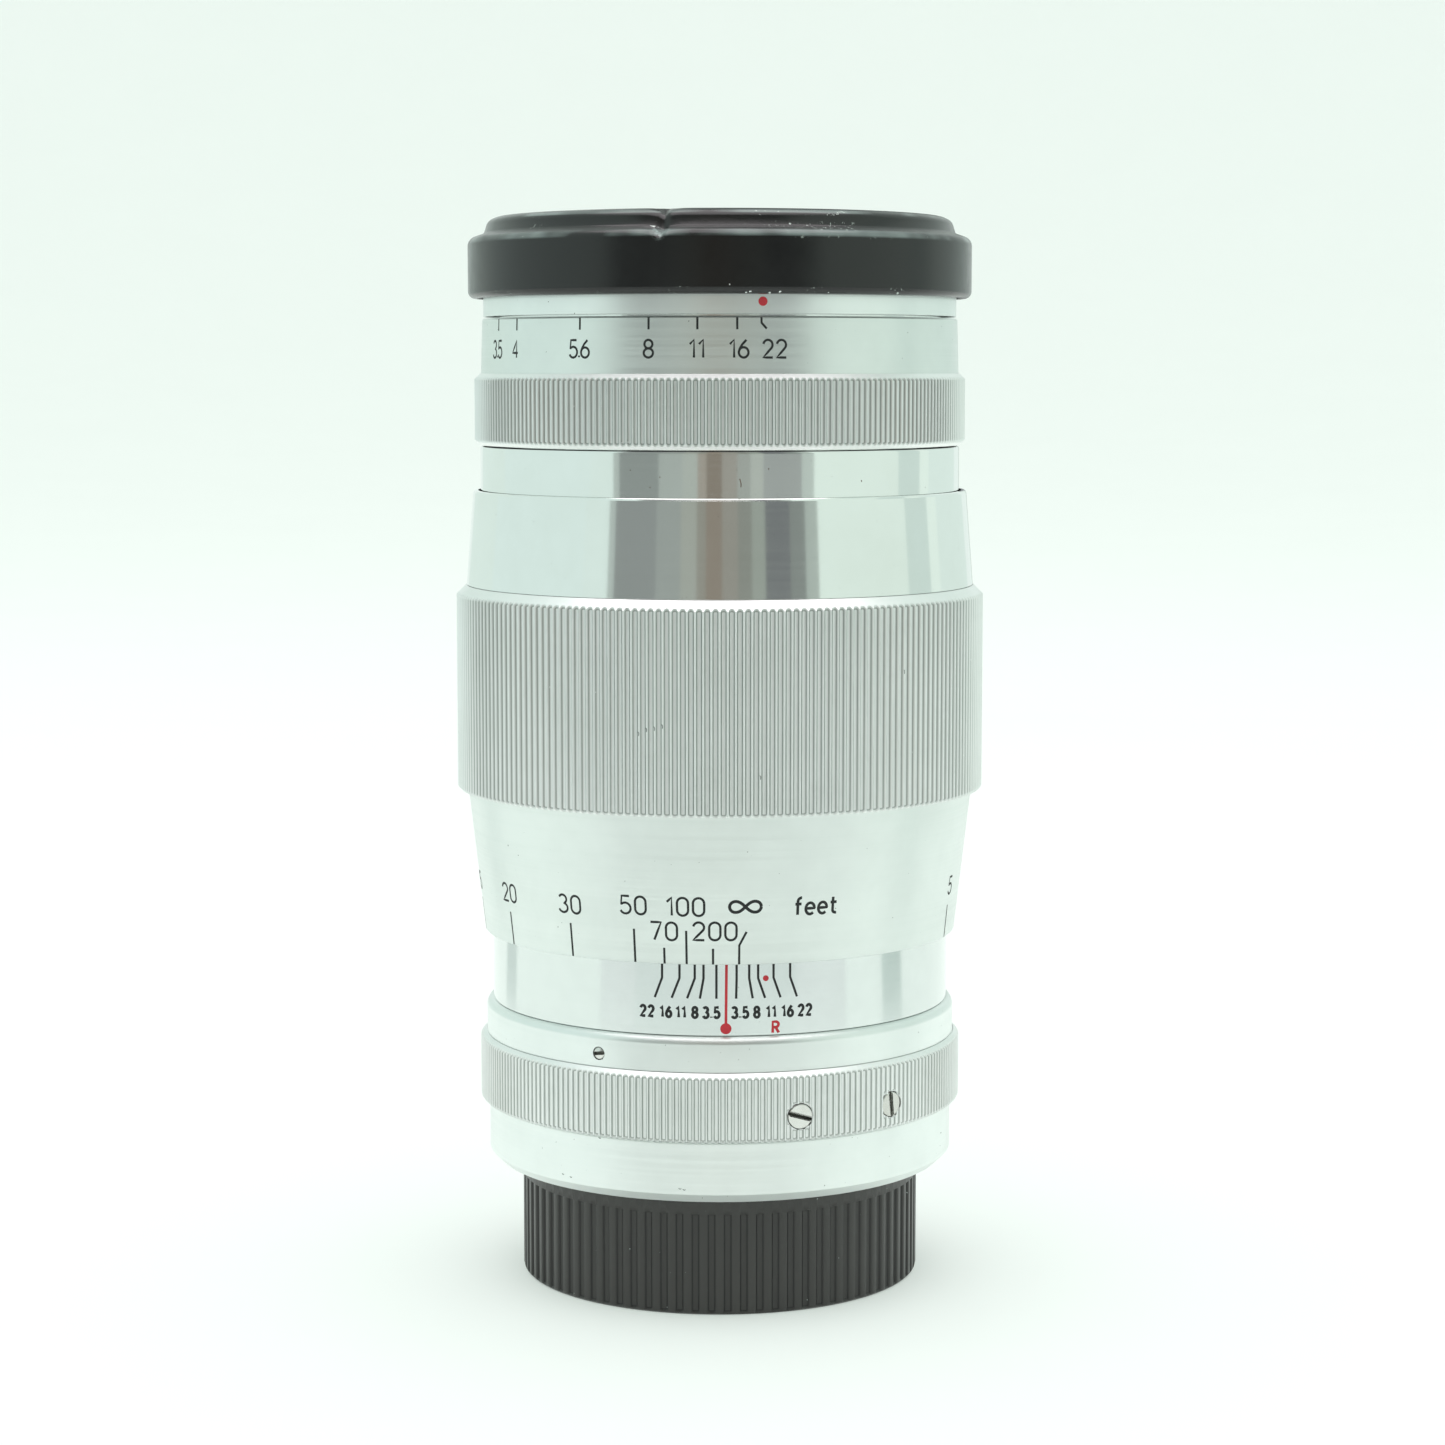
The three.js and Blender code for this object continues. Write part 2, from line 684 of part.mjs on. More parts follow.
function irisBlade() {
  const pin = turned(
    [[0, -pivotPinLength], [pivotPinRadius, -pivotPinLength], [pivotPinRadius, bladeThickness / 2],
      [0, bladeThickness / 2]],
    smallSides,
  ).translate(pivotRadius, 0, 0);
  return joined(bladeStrip(), [pin]);
}

function irisHousing() {
  const body = turned(
    [[irisBore, 0], [insideHeadTube, 0], [insideHeadTube, housingHeight],
      [insideHeadTube - housingWall, housingHeight], [insideHeadTube - housingWall, housingPlate],
      [irisBore, housingPlate]],
    innerSides,
  );
  const hole = turned([[0, -1], [pivotPinRadius + gap, -1], [pivotPinRadius + gap, 2], [0, 2]], smallSides);
  const holes = [...Array(bladeCount).keys()].map((i) =>
    hole.clone().translate(pivotRadius, 0, 0).rotateZ(2 * Math.PI * i / bladeCount),
  );
  return cut(body, holes);
}

function driveRing() {
  const ring = plainRing(insideHeadTube, irisBore, driveRingHeight, innerSides);
  const hole = radialBar(
    driveScrewRadius + gap / 2, insideHeadTube - 2, insideHeadTube + 1, driveScrewPlace, driveRingHeight / 2,
  );
  return cut(ring, [hole]);
}

function apertureRing() {
  const bandFoot = apertureGripHeight + apertureGripBevel;
  const top = bandFoot + apertureBandHeight;
  const body = turned(
    [[apertureBore, 0], [apertureGripRadius - edge, 0], [apertureGripRadius, edge],
      [apertureGripRadius, apertureGripHeight], [apertureBandRadius, bandFoot],
      [apertureBandRadius - edge / 2, top], [apertureBore, top]],
    outerSides,
  );
  const hole = radialBar(
    driveScrewRadius + gap / 2, apertureBore - 1, apertureGripRadius - 1, driveScrewPlace,
    driveScrewZ - apertureRingZ,
  );
  return cut(body, [hole]);
}

// ---------------------------------------------------------------- cam tube and front cap

function camTube() {
  const flange = hubTopZ + 2 * gap - flangeZ + camReach;
  return turned(
    [[camRadius - camWall, 0], [camRadius, 0], [camRadius, flange], [camFlangeRadius, flange],
      [camFlangeRadius, flange + camFlange], [camRadius - camWall, flange + camFlange]],
    innerSides,
  );
}

function frontCap() {
  const discFoot = capSkirt + capShoulder;
  const top = discFoot + capDisc;
  const inner = capDiscRadius - 1;
  return turned(
    [[capBore, 0], [capRadius - 2 * edge, 0], [capRadius, 2 * edge], [capRadius, capSkirt - edge],
      [capRadius - edge, capSkirt], [capDiscRadius, discFoot], [capDiscRadius, top - edge],
      [capDiscRadius - edge, top], [0, top], [0, top - capWall], [inner, top - capWall],
      [inner, discFoot - capWall], [capBore, capSkirt - capWall]],
    outerSides,
  );
}

// ---------------------------------------------------------------- assembly

const lens = new THREE.Group();
const fixed = new THREE.Group();
const focusing = new THREE.Group();
const head = new THREE.Group();
const aperture = new THREE.Group();
const frontCapGroup = new THREE.Group();
head.add(aperture, frontCapGroup);
lens.add(fixed, focusing, head);

addPiece(lens, "rear_cap", rearCap(), blackPlastic());

addPiece(fixed, "lens_mount", lensMount(), polishedAluminium());
addPiece(fixed, "mount_collar", mountCollar(), knurledAluminium(), collarZ);
addPiece(fixed, "clamp_ring", clampRing(), polishedAluminium(), clampRingZ);
addPiece(fixed, "depth_scale_barrel", depthBarrel(), polishedAluminium());
twoRound(keyPlace).forEach((place, i) => {
  addPiece(fixed, `guide_key_${i + 1}`, guideKey(place), nickelSteel(), keyFootZ);
});
addPiece(fixed, "focus_stop_block", focusStop(), turnedBrass(), stopScrewZ - stopScrewRadius);

// Screws through the collar: three hold it on the hub, two hold the guide keys.
function addCollarScrew(name, place, slotTurn) {
  const shankEnd = pocketRadius - gap / 3;
  const screw = slottedScrew(
    screwShankRadius, screwSeatRadius - shankEnd, screwHeadRadius, screwHeadHeight, slotTurn,
  );
  addPiece(fixed, name, facingOut(screw, shankEnd, place, 0), nickelSteel(), screwLineZ);
}
threeRound(collarScrewPlace).forEach((place, i) => {
  addCollarScrew(`collar_screw_${i + 1}`, place, -17 + 50 * i);
});
twoRound(keyPlace).forEach((place, i) => {
  addCollarScrew(`key_screw_${i + 1}`, place, 84 + 30 * i);
});

threeRound(clampScrewPlace).forEach((place, i) => {
  const end = clampRingRadius - clampRingWall + gap / 3;
  const screw = setScrew(clampScrewRadius, clampRingRadius - gap / 2 - end, 70 * i);
  const height = clampRingZ + clampRingHeight / 3;
  addPiece(fixed, `clamp_screw_${i + 1}`, facingOut(screw, end, place, 0), nickelSteel(), height);
});

addPiece(focusing, "focus_ring", focusRing(), knurledAluminium(), focusRingZ);
addPiece(focusing, "front_sleeve", frontSleeve(), polishedAluminium(), sleeveZ);
addPiece(focusing, "focus_nut", focusNut(), blackAnodised(), nutFootZ);
addPiece(
  focusing, "nut_retaining_ring",
  plainRing(depthBarrelBore, nutBore, nutRingHeight, innerSides), turnedBrass(),
  nutFootZ - gap - nutRingHeight,
);
const stopScrewEnd = depthBarrelRadius + 4 * gap / 3;
addPiece(
  focusing, "focus_stop_screw",
  facingOut(setScrew(stopScrewRadius, gripRadius - 1 - stopScrewEnd, 0), stopScrewEnd, stopPlace, 0),
  nickelSteel(), stopScrewZ,
);

addPiece(head, "lens_barrel", lensBarrel(), blackAnodised(), barrelZ);
addPiece(head, "head_barrel", headBarrel(), polishedAluminium(), headSkirtZ);
addPiece(head, "front_ring", frontRing(), polishedAluminium(), frontRingZ);
addPiece(head, "name_ring", nameRing(), blackAnodised(), headTubeTopZ + gap);
addPiece(head, "front_cell", frontCell(), blackAnodised(), frontCellZ);
addPiece(head, "iris_housing", irisHousing(), blackAnodised(), housingZ);
addPiece(head, "rear_cell", rearCell(), blackAnodised(), rearCellZ);
addPiece(
  head, "light_baffle",
  plainRing(rearCellRadius, rearCellRadius - baffleWidth, baffleThickness, innerSides), blackAnodised(),
  baffleZ,
);

addPiece(
  head, "third_element",
  element(frontGlassRadius, thirdRim, thirdHollow, cementBulge, frontCellLedgeBore - edge), coatedGlass(),
  thirdZ,
);
addPiece(
  head, "second_element", element(frontGlassRadius, secondRim, cementBulge, secondBulge), coatedGlass(),
  secondZ,
);
addPiece(
  head, "element_spacer",
  plainRing(frontGlassRadius, frontGlassRadius - spacerWall, spacerHeight, innerSides), blackAnodised(),
  spacerZ,
);
addPiece(
  head, "front_element", element(frontGlassRadius, frontRim, 0, frontBulge), coatedGlass(), frontElementZ,
);
addPiece(
  head, "front_retaining_ring",
  plainRing(frontGlassRadius, frontGlassRadius - retainerWall, frontCellTopZ - frontRetainerZ, innerSides),
  blackAnodised(), frontRetainerZ,
);
addPiece(
  head, "rear_element", element(rearGlassRadius, rearRim, rearLowerBulge, rearUpperBulge), coatedGlass(),
  rearElementZ,
);
addPiece(
  head, "rear_retaining_ring",
  plainRing(rearGlassRadius, rearGlassRadius - retainerWall - gap, rearRetainerHeight, innerSides),
  blackAnodised(), rearRetainerZ,
);

for (let i = 0; i < bladeCount; i += 1) {
  const turn = new THREE.Group();
  turn.rotation.z = 2 * Math.PI * i / bladeCount;
  addPiece(turn, `iris_blade_${i + 1}`, irisBlade(), bluedSteel(), bladeZ);
  head.add(turn);
}

addPiece(aperture, "aperture_ring", apertureRing(), satinAluminium(), apertureRingZ);
addPiece(aperture, "iris_drive_ring", driveRing(), turnedBrass(), driveRingZ);
const driveScrewEnd = insideHeadTube - 1.5;
addPiece(
  aperture, "iris_drive_screw",
  radialBar(driveScrewRadius, driveScrewEnd, apertureGripRadius - 1.5, driveScrewPlace, 0), nickelSteel(),
  driveScrewZ,
);

addPiece(lens, "rangefinder_cam_tube", camTube(), turnedBrass(), flangeZ - camReach);

addPiece(frontCapGroup, "front_cap", frontCap(), blackEnamel(), capZ);
addPiece(
  frontCapGroup, "cap_lining",
  plainRing(liningRadius, liningBore, capSkirt - capWall - 2 * gap, outerSides), blackFelt(), capZ + gap,
);

export default lens;
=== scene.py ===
import json
import math
import random
import bmesh
import bpy
from mathutils import Matrix, Vector


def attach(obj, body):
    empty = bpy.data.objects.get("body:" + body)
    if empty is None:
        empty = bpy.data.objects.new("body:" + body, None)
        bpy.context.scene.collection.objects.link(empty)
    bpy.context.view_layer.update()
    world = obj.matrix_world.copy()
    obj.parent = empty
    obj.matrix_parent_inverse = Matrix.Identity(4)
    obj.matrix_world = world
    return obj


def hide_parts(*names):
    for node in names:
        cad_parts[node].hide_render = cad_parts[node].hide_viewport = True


# A chrome 135 mm screw-mount lens standing on its rear cap.
# Radii and heights are in mm, as in the CAD. Places round the axis are in degrees, to the right of the front.

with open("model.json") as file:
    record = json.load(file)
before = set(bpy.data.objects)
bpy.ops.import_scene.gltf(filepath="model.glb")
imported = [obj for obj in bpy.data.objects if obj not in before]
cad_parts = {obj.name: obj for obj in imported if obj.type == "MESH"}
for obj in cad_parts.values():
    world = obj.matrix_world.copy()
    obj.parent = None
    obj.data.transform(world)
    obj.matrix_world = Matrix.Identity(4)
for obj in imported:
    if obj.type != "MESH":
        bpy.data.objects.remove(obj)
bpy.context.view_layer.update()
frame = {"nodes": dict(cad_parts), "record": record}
mm = 0.001
print("frame loaded:", len(frame["nodes"]), "nodes")

def colour(code):  # sRGB hex to the linear colour that a node takes
    channels = [int(code[i:i + 2], 16) / 255 for i in (1, 3, 5)]
    return tuple(c / 12.92 if c <= 0.04045 else ((c + 0.055) / 1.055) ** 2.4 for c in channels) + (1,)


def addNode(tree, kind, values=None, links=None, stops=None, **settings):
    # one node with its settings, values and links; stops are a ramp's, as (place, colour)
    made = tree.nodes.new(kind)
    for name, value in settings.items():
        setattr(made, name, value)
    for socket, value in (values or {}).items():
        made.inputs[socket].default_value = value
    for socket, source in (links or {}).items():
        tree.links.new(source, made.inputs[socket])
    if stops:
        ramp = made.color_ramp
        while len(ramp.elements) < len(stops):
            ramp.elements.new(0.5)
        for element, (place, shade) in zip(ramp.elements, stops):
            element.position, element.color = place, shade
    return made


def grey(level):
    return (level, level, level, 1)


def newFinish(name, **surface):  # a material with one Principled surface
    finish = bpy.data.materials.new(name)
    finish.use_nodes = True
    tree = finish.node_tree
    tree.nodes.clear()
    shader = addNode(tree, "ShaderNodeBsdfPrincipled", values=surface)
    addNode(tree, "ShaderNodeOutputMaterial", links={"Surface": shader.outputs["BSDF"]})
    return finish, tree, shader


def latheSpace(tree, spacing, drift):
    # coordinates that repeat along the outline of a turned piece, every spacing mm, and drift slowly round it
    place = addNode(tree, "ShaderNodeTexCoord")
    parts = addNode(tree, "ShaderNodeSeparateXYZ", links={0: place.outputs["Object"]})
    squareX, squareY = [addNode(tree, "ShaderNodeMath", operation="MULTIPLY",
                                links={0: parts.outputs[axis], 1: parts.outputs[axis]})
                        for axis in "XY"]
    square = addNode(tree, "ShaderNodeMath", operation="ADD",
                     links={0: squareX.outputs[0], 1: squareY.outputs[0]})
    radius = addNode(tree, "ShaderNodeMath", operation="SQRT", links={0: square.outputs[0]})
    outward, upward = [addNode(tree, "ShaderNodeMath", operation="MULTIPLY", values={1: 1 / (spacing * mm)},
                               links={0: length})
                       for length in (radius.outputs[0], parts.outputs["Z"])]
    mixed = addNode(tree, "ShaderNodeMath", operation="ADD",
                    links={0: parts.outputs["X"], 1: parts.outputs["Y"]})
    around = addNode(tree, "ShaderNodeMath", operation="MULTIPLY", values={1: drift},
                     links={0: mixed.outputs[0]})
    return addNode(tree, "ShaderNodeCombineXYZ", links={"X": outward.outputs[0], "Y": upward.outputs[0],
                                                        "Z": around.outputs[0]}).outputs[0]


def objectSpace(tree, size):  # Object coordinates in which one unit is size mm
    place = addNode(tree, "ShaderNodeTexCoord")
    return addNode(tree, "ShaderNodeMapping", values={"Scale": (1 / (size * mm),) * 3},
                   links={"Vector": place.outputs["Object"]}).outputs[0]


def heightBand(tree, low, high, soft):  # 1 between two heights in mm, fading over soft mm
    place = addNode(tree, "ShaderNodeTexCoord")
    parts = addNode(tree, "ShaderNodeSeparateXYZ", links={0: place.outputs["Object"]})
    over = addNode(tree, "ShaderNodeMapRange", values={"From Min": (low - soft) * mm, "From Max": low * mm},
                   links={"Value": parts.outputs["Z"]})
    under = addNode(tree, "ShaderNodeMapRange", values={"From Min": high * mm, "From Max": (high + soft) * mm,
                                                        "To Min": 1.0, "To Max": 0.0},
                    links={"Value": parts.outputs["Z"]})
    return addNode(tree, "ShaderNodeMath", operation="MULTIPLY",
                   links={0: over.outputs[0], 1: under.outputs[0]}).outputs[0]


def grooveShade(tree, base, shadeTint, at):
    # painted shade: darkens a base colour along the foot of each cut tooth, where shade falls in the groove; at
    # is the depth share where it is darkest
    depth = addNode(tree, "ShaderNodeAttribute", attribute_type="GEOMETRY",
                    attribute_name="groove").outputs["Fac"]
    share = addNode(tree, "ShaderNodeValToRGB", links={0: depth},
                    stops=[(0.0, grey(0)), (at * 0.45, grey(0.2)), (at, grey(1)),
                           (min(at + 0.2, 1), grey(0.12))])
    return addNode(tree, "ShaderNodeMix", data_type="RGBA", values={7: colour(shadeTint)},
                   links={"Factor": share.outputs[0], 6: base}).outputs[2]


def turnedMetal(name, tint, roughness, marks, markDepth, stain, stretch=0.0):
    # bright metal off the lathe: marks is the spacing of the feed lines in mm. Real ones are about 0.05 mm
    # apart, so they are drawn five times coarser or more, to show. stretch draws highlights out round the axis,
    # as fine rings do.
    finish, tree, shader = newFinish(name, Metallic=1.0, Anisotropic=stretch,
                                     **{"Anisotropic Rotation": 0.25 if stretch else 0.0})
    lines = addNode(tree, "ShaderNodeTexNoise", values={"Scale": 1.0, "Detail": 2.0, "Roughness": 0.6},
                    links={"Vector": latheSpace(tree, marks, 12)})
    haze = addNode(tree, "ShaderNodeTexNoise", values={"Scale": 1.0, "Detail": 4.0, "Roughness": 0.65},
                   links={"Vector": objectSpace(tree, 14)})  # handling marks, 14 mm across
    specks = addNode(tree, "ShaderNodeTexNoise", values={"Scale": 1.0, "Detail": 1.0},
                     links={"Vector": objectSpace(tree, 0.35)})  # corrosion pits of a third of a millimetre
    handled = addNode(tree, "ShaderNodeMapRange", values={"From Min": 0.3, "From Max": 0.6},
                      links={"Value": haze.outputs[0]})
    pits = addNode(tree, "ShaderNodeMapRange", values={"From Min": 0.80, "From Max": 0.83},
                   links={"Value": specks.outputs[0]})
    tone = addNode(tree, "ShaderNodeMix", data_type="RGBA", values={6: colour(stain), 7: colour(tint)},
                   links={"Factor": handled.outputs[0]})
    pitted = addNode(tree, "ShaderNodeMix", data_type="RGBA", values={7: colour("#5d605c")},
                     links={"Factor": pits.outputs[0], 6: tone.outputs[2]})
    tree.links.new(pitted.outputs[2], shader.inputs["Base Color"])
    rough = addNode(tree, "ShaderNodeMapRange", links={"Value": lines.outputs[0]},
                    values={"From Min": 0.25, "From Max": 0.75, "To Min": roughness * 0.82,
                            "To Max": roughness * 1.25})
    tree.links.new(rough.outputs[0], shader.inputs["Roughness"])
    rings = addNode(tree, "ShaderNodeBump", values={"Strength": 1.0, "Distance": markDepth * mm},
                    links={"Height": lines.outputs[0]})
    tree.links.new(rings.outputs[0], shader.inputs["Normal"])
    if stretch:
        grain = addNode(tree, "ShaderNodeTangent", direction_type="RADIAL", axis="Z")
        tree.links.new(grain.outputs[0], shader.inputs["Tangent"])
    return finish


# aluminium, turned and buffed: clear upright reflections with faint rings in them
polishedAluminium = turnedMetal("polishedAluminium", "#f2f5f3", 0.10, 0.35, 0.0006, "#edf0ed", 0.7)
# aluminium, turned and satin anodised: the same rings under an even, pearly sheen
satinAluminium = turnedMetal("satinAluminium", "#eff4f2", 0.36, 0.28, 0.002, "#e8edeb", 0.4)
# the same, a shade darker where the figures are engraved
scaleAluminium = turnedMetal("scaleAluminium", "#e6ece9", 0.36, 0.26, 0.002, "#dfe5e2", 0.4)
# aluminium, turned and buffed, under the focus ring: clear reflections dulled by handling
brightAluminium = turnedMetal("brightAluminium", "#e1e7e5", 0.14, 0.3, 0.0008, "#d9dfdd", 0.6)
# nickel-plated steel, turned, for the screws: a hard white shine
nickelSteel = turnedMetal("nickelSteel", "#e0e1dd", 0.2, 0.2, 0.001, "#c9c9c3")
# free-cutting brass, turned, for the cam tube and the focusing nut: warm and softly bright
turnedBrass = turnedMetal("turnedBrass", "#d9b56a", 0.26, 0.3, 0.002, "#b8924c", 0.4)


def knurledMetal(name, tint, stain, grooveShadeTint):
    # aluminium, straight-knurled and bright anodised: light crests, grey feet of painted shade along the groove
    # walls and a fine frost that softens the shine
    finish, tree, shader = newFinish(name, Metallic=1.0)
    # the etched grain is under 0.1 mm, drawn at 1.2 mm to show
    frost = addNode(tree, "ShaderNodeTexNoise", values={"Scale": 1.0, "Detail": 2.0},
                    links={"Vector": objectSpace(tree, 1.2)})
    haze = addNode(tree, "ShaderNodeTexNoise", values={"Scale": 1.0, "Detail": 4.0, "Roughness": 0.6},
                   links={"Vector": objectSpace(tree, 11)})
    dust = addNode(tree, "ShaderNodeTexNoise", values={"Scale": 1.0, "Detail": 1.0},
                   links={"Vector": objectSpace(tree, 0.32)})
    handled = addNode(tree, "ShaderNodeMapRange", values={"From Min": 0.3, "From Max": 0.6},
                      links={"Value": haze.outputs[0]})
    motes = addNode(tree, "ShaderNodeMapRange", values={"From Min": 0.80, "From Max": 0.85},
                    links={"Value": dust.outputs[0]})
    tone = addNode(tree, "ShaderNodeMix", data_type="RGBA", values={6: colour(stain), 7: colour(tint)},
                   links={"Factor": handled.outputs[0]})
    # painted shade darkens the groove walls, then dust is laid over
    dusted = addNode(tree, "ShaderNodeMix", data_type="RGBA", values={7: colour("#ffffff")},
                     links={"Factor": motes.outputs[0], 6: grooveShade(tree, tone.outputs[2], grooveShadeTint, 0.72)})
    tree.links.new(dusted.outputs[2], shader.inputs["Base Color"])
    rough = addNode(tree, "ShaderNodeMapRange", links={"Value": frost.outputs[0]},
                    values={"From Min": 0.3, "From Max": 0.7, "To Min": 0.35, "To Max": 0.41})
    tree.links.new(rough.outputs[0], shader.inputs["Roughness"])
    return finish


# the last colour is painted shade along the walls of the knurl's grooves
knurledAluminium = knurledMetal("knurledAluminium", "#f4f6f5", "#edf0ee", "#9fa5a1")


def blackMetal(name, tint, roughness, marks):
    # aluminium or steel with a black skin: matt, with the turning still showing as faint lines marks mm apart
    finish, tree, shader = newFinish(name, Metallic=0.0, **{"Specular IOR Level": 0.5})
    lines = addNode(tree, "ShaderNodeTexNoise", values={"Scale": 1.0, "Detail": 2.0},
                    links={"Vector": latheSpace(tree, marks, 10)})
    tone = addNode(tree, "ShaderNodeMix", data_type="RGBA", values={6: colour("#0e0f10"), 7: colour(tint)},
                   links={"Factor": lines.outputs[0]})
    tree.links.new(tone.outputs[2], shader.inputs["Base Color"])
    rough = addNode(tree, "ShaderNodeMapRange", values={"To Min": roughness * 0.8, "To Max": roughness * 1.2},
                    links={"Value": lines.outputs[0]})
    tree.links.new(rough.outputs[0], shader.inputs["Roughness"])
    rings = addNode(tree, "ShaderNodeBump", values={"Strength": 1.0, "Distance": 0.01 * mm},
                    links={"Height": lines.outputs[0]})
    tree.links.new(rings.outputs[0], shader.inputs["Normal"])
    return finish


# black anodised aluminium of the cells: matt, so that it throws no light back through the glass
blackAnodised = blackMetal("blackAnodised", "#26282a", 0.45, 0.3)
# blackened spring steel of the iris blades: smoother and a little blue
bluedSteel = blackMetal("bluedSteel", "#2a2f36", 0.32, 0.9)


def mouldedPlastic():
    # ABS, moulded: a low sheen over an orange-peel skin, black lines of painted shade beside the ribs, a little
    # dust
    finish, tree, shader = newFinish("blackMoulded", Metallic=0.0, IOR=1.49)
    skin = addNode(tree, "ShaderNodeTexNoise", values={"Scale": 1.0, "Detail": 3.0, "Roughness": 0.6},
                   links={"Vector": objectSpace(tree, 0.25)})
    cloud = addNode(tree, "ShaderNodeTexNoise", values={"Scale": 1.0, "Detail": 4.0, "Roughness": 0.6},
                    links={"Vector": objectSpace(tree, 6)})
    dust = addNode(tree, "ShaderNodeTexNoise", values={"Scale": 1.0, "Detail": 1.0},
                   links={"Vector": objectSpace(tree, 0.45)})
    motes = addNode(tree, "ShaderNodeMapRange", values={"From Min": 0.80, "From Max": 0.84},
                    links={"Value": dust.outputs[0]})
    tone = addNode(tree, "ShaderNodeMix", data_type="RGBA", values={6: colour("#2f2e2d"), 7: colour("#3b3a38")},
                   links={"Factor": cloud.outputs[0]})
    # painted shade: near black along the walls of the ribs
    dusty = addNode(tree, "ShaderNodeMix", data_type="RGBA", values={7: colour("#9aa5a1")},
                    links={"Factor": motes.outputs[0], 6: grooveShade(tree, tone.outputs[2], "#030303", 0.85)})
    tree.links.new(dusty.outputs[2], shader.inputs["Base Color"])
    rough = addNode(tree, "ShaderNodeMapRange", values={"To Min": 0.28, "To Max": 0.44},
                    links={"Value": cloud.outputs[0]})
    tree.links.new(rough.outputs[0], shader.inputs["Roughness"])
    peel = addNode(tree, "ShaderNodeBump", values={"Strength": 0.6, "Distance": 0.012 * mm},
                   links={"Height": skin.outputs[0]})
    tree.links.new(peel.outputs[0], shader.inputs["Normal"])
    return finish


blackMoulded = mouldedPlastic()

capWearAndHighlights = {  # heights in mm on the front cap
    "chippedBands": [(111.4, 112.2), (117.4, 119.1), (119.9, 120.7)],
    # the shoulder and brim bands carry a painted grey highlight: lowest and highest height, and soft edge
    "paintedShoulderHighlight": (117.75, 118.15, 0.25), "paintedBrimHighlight": (120.15, 120.45, 0.12),
    "flatRadius": 25.4, "knock": {"radius": 27.7, "place": -13.0, "height": 118.0, "inner": 0.2, "outer": 1.25},
}


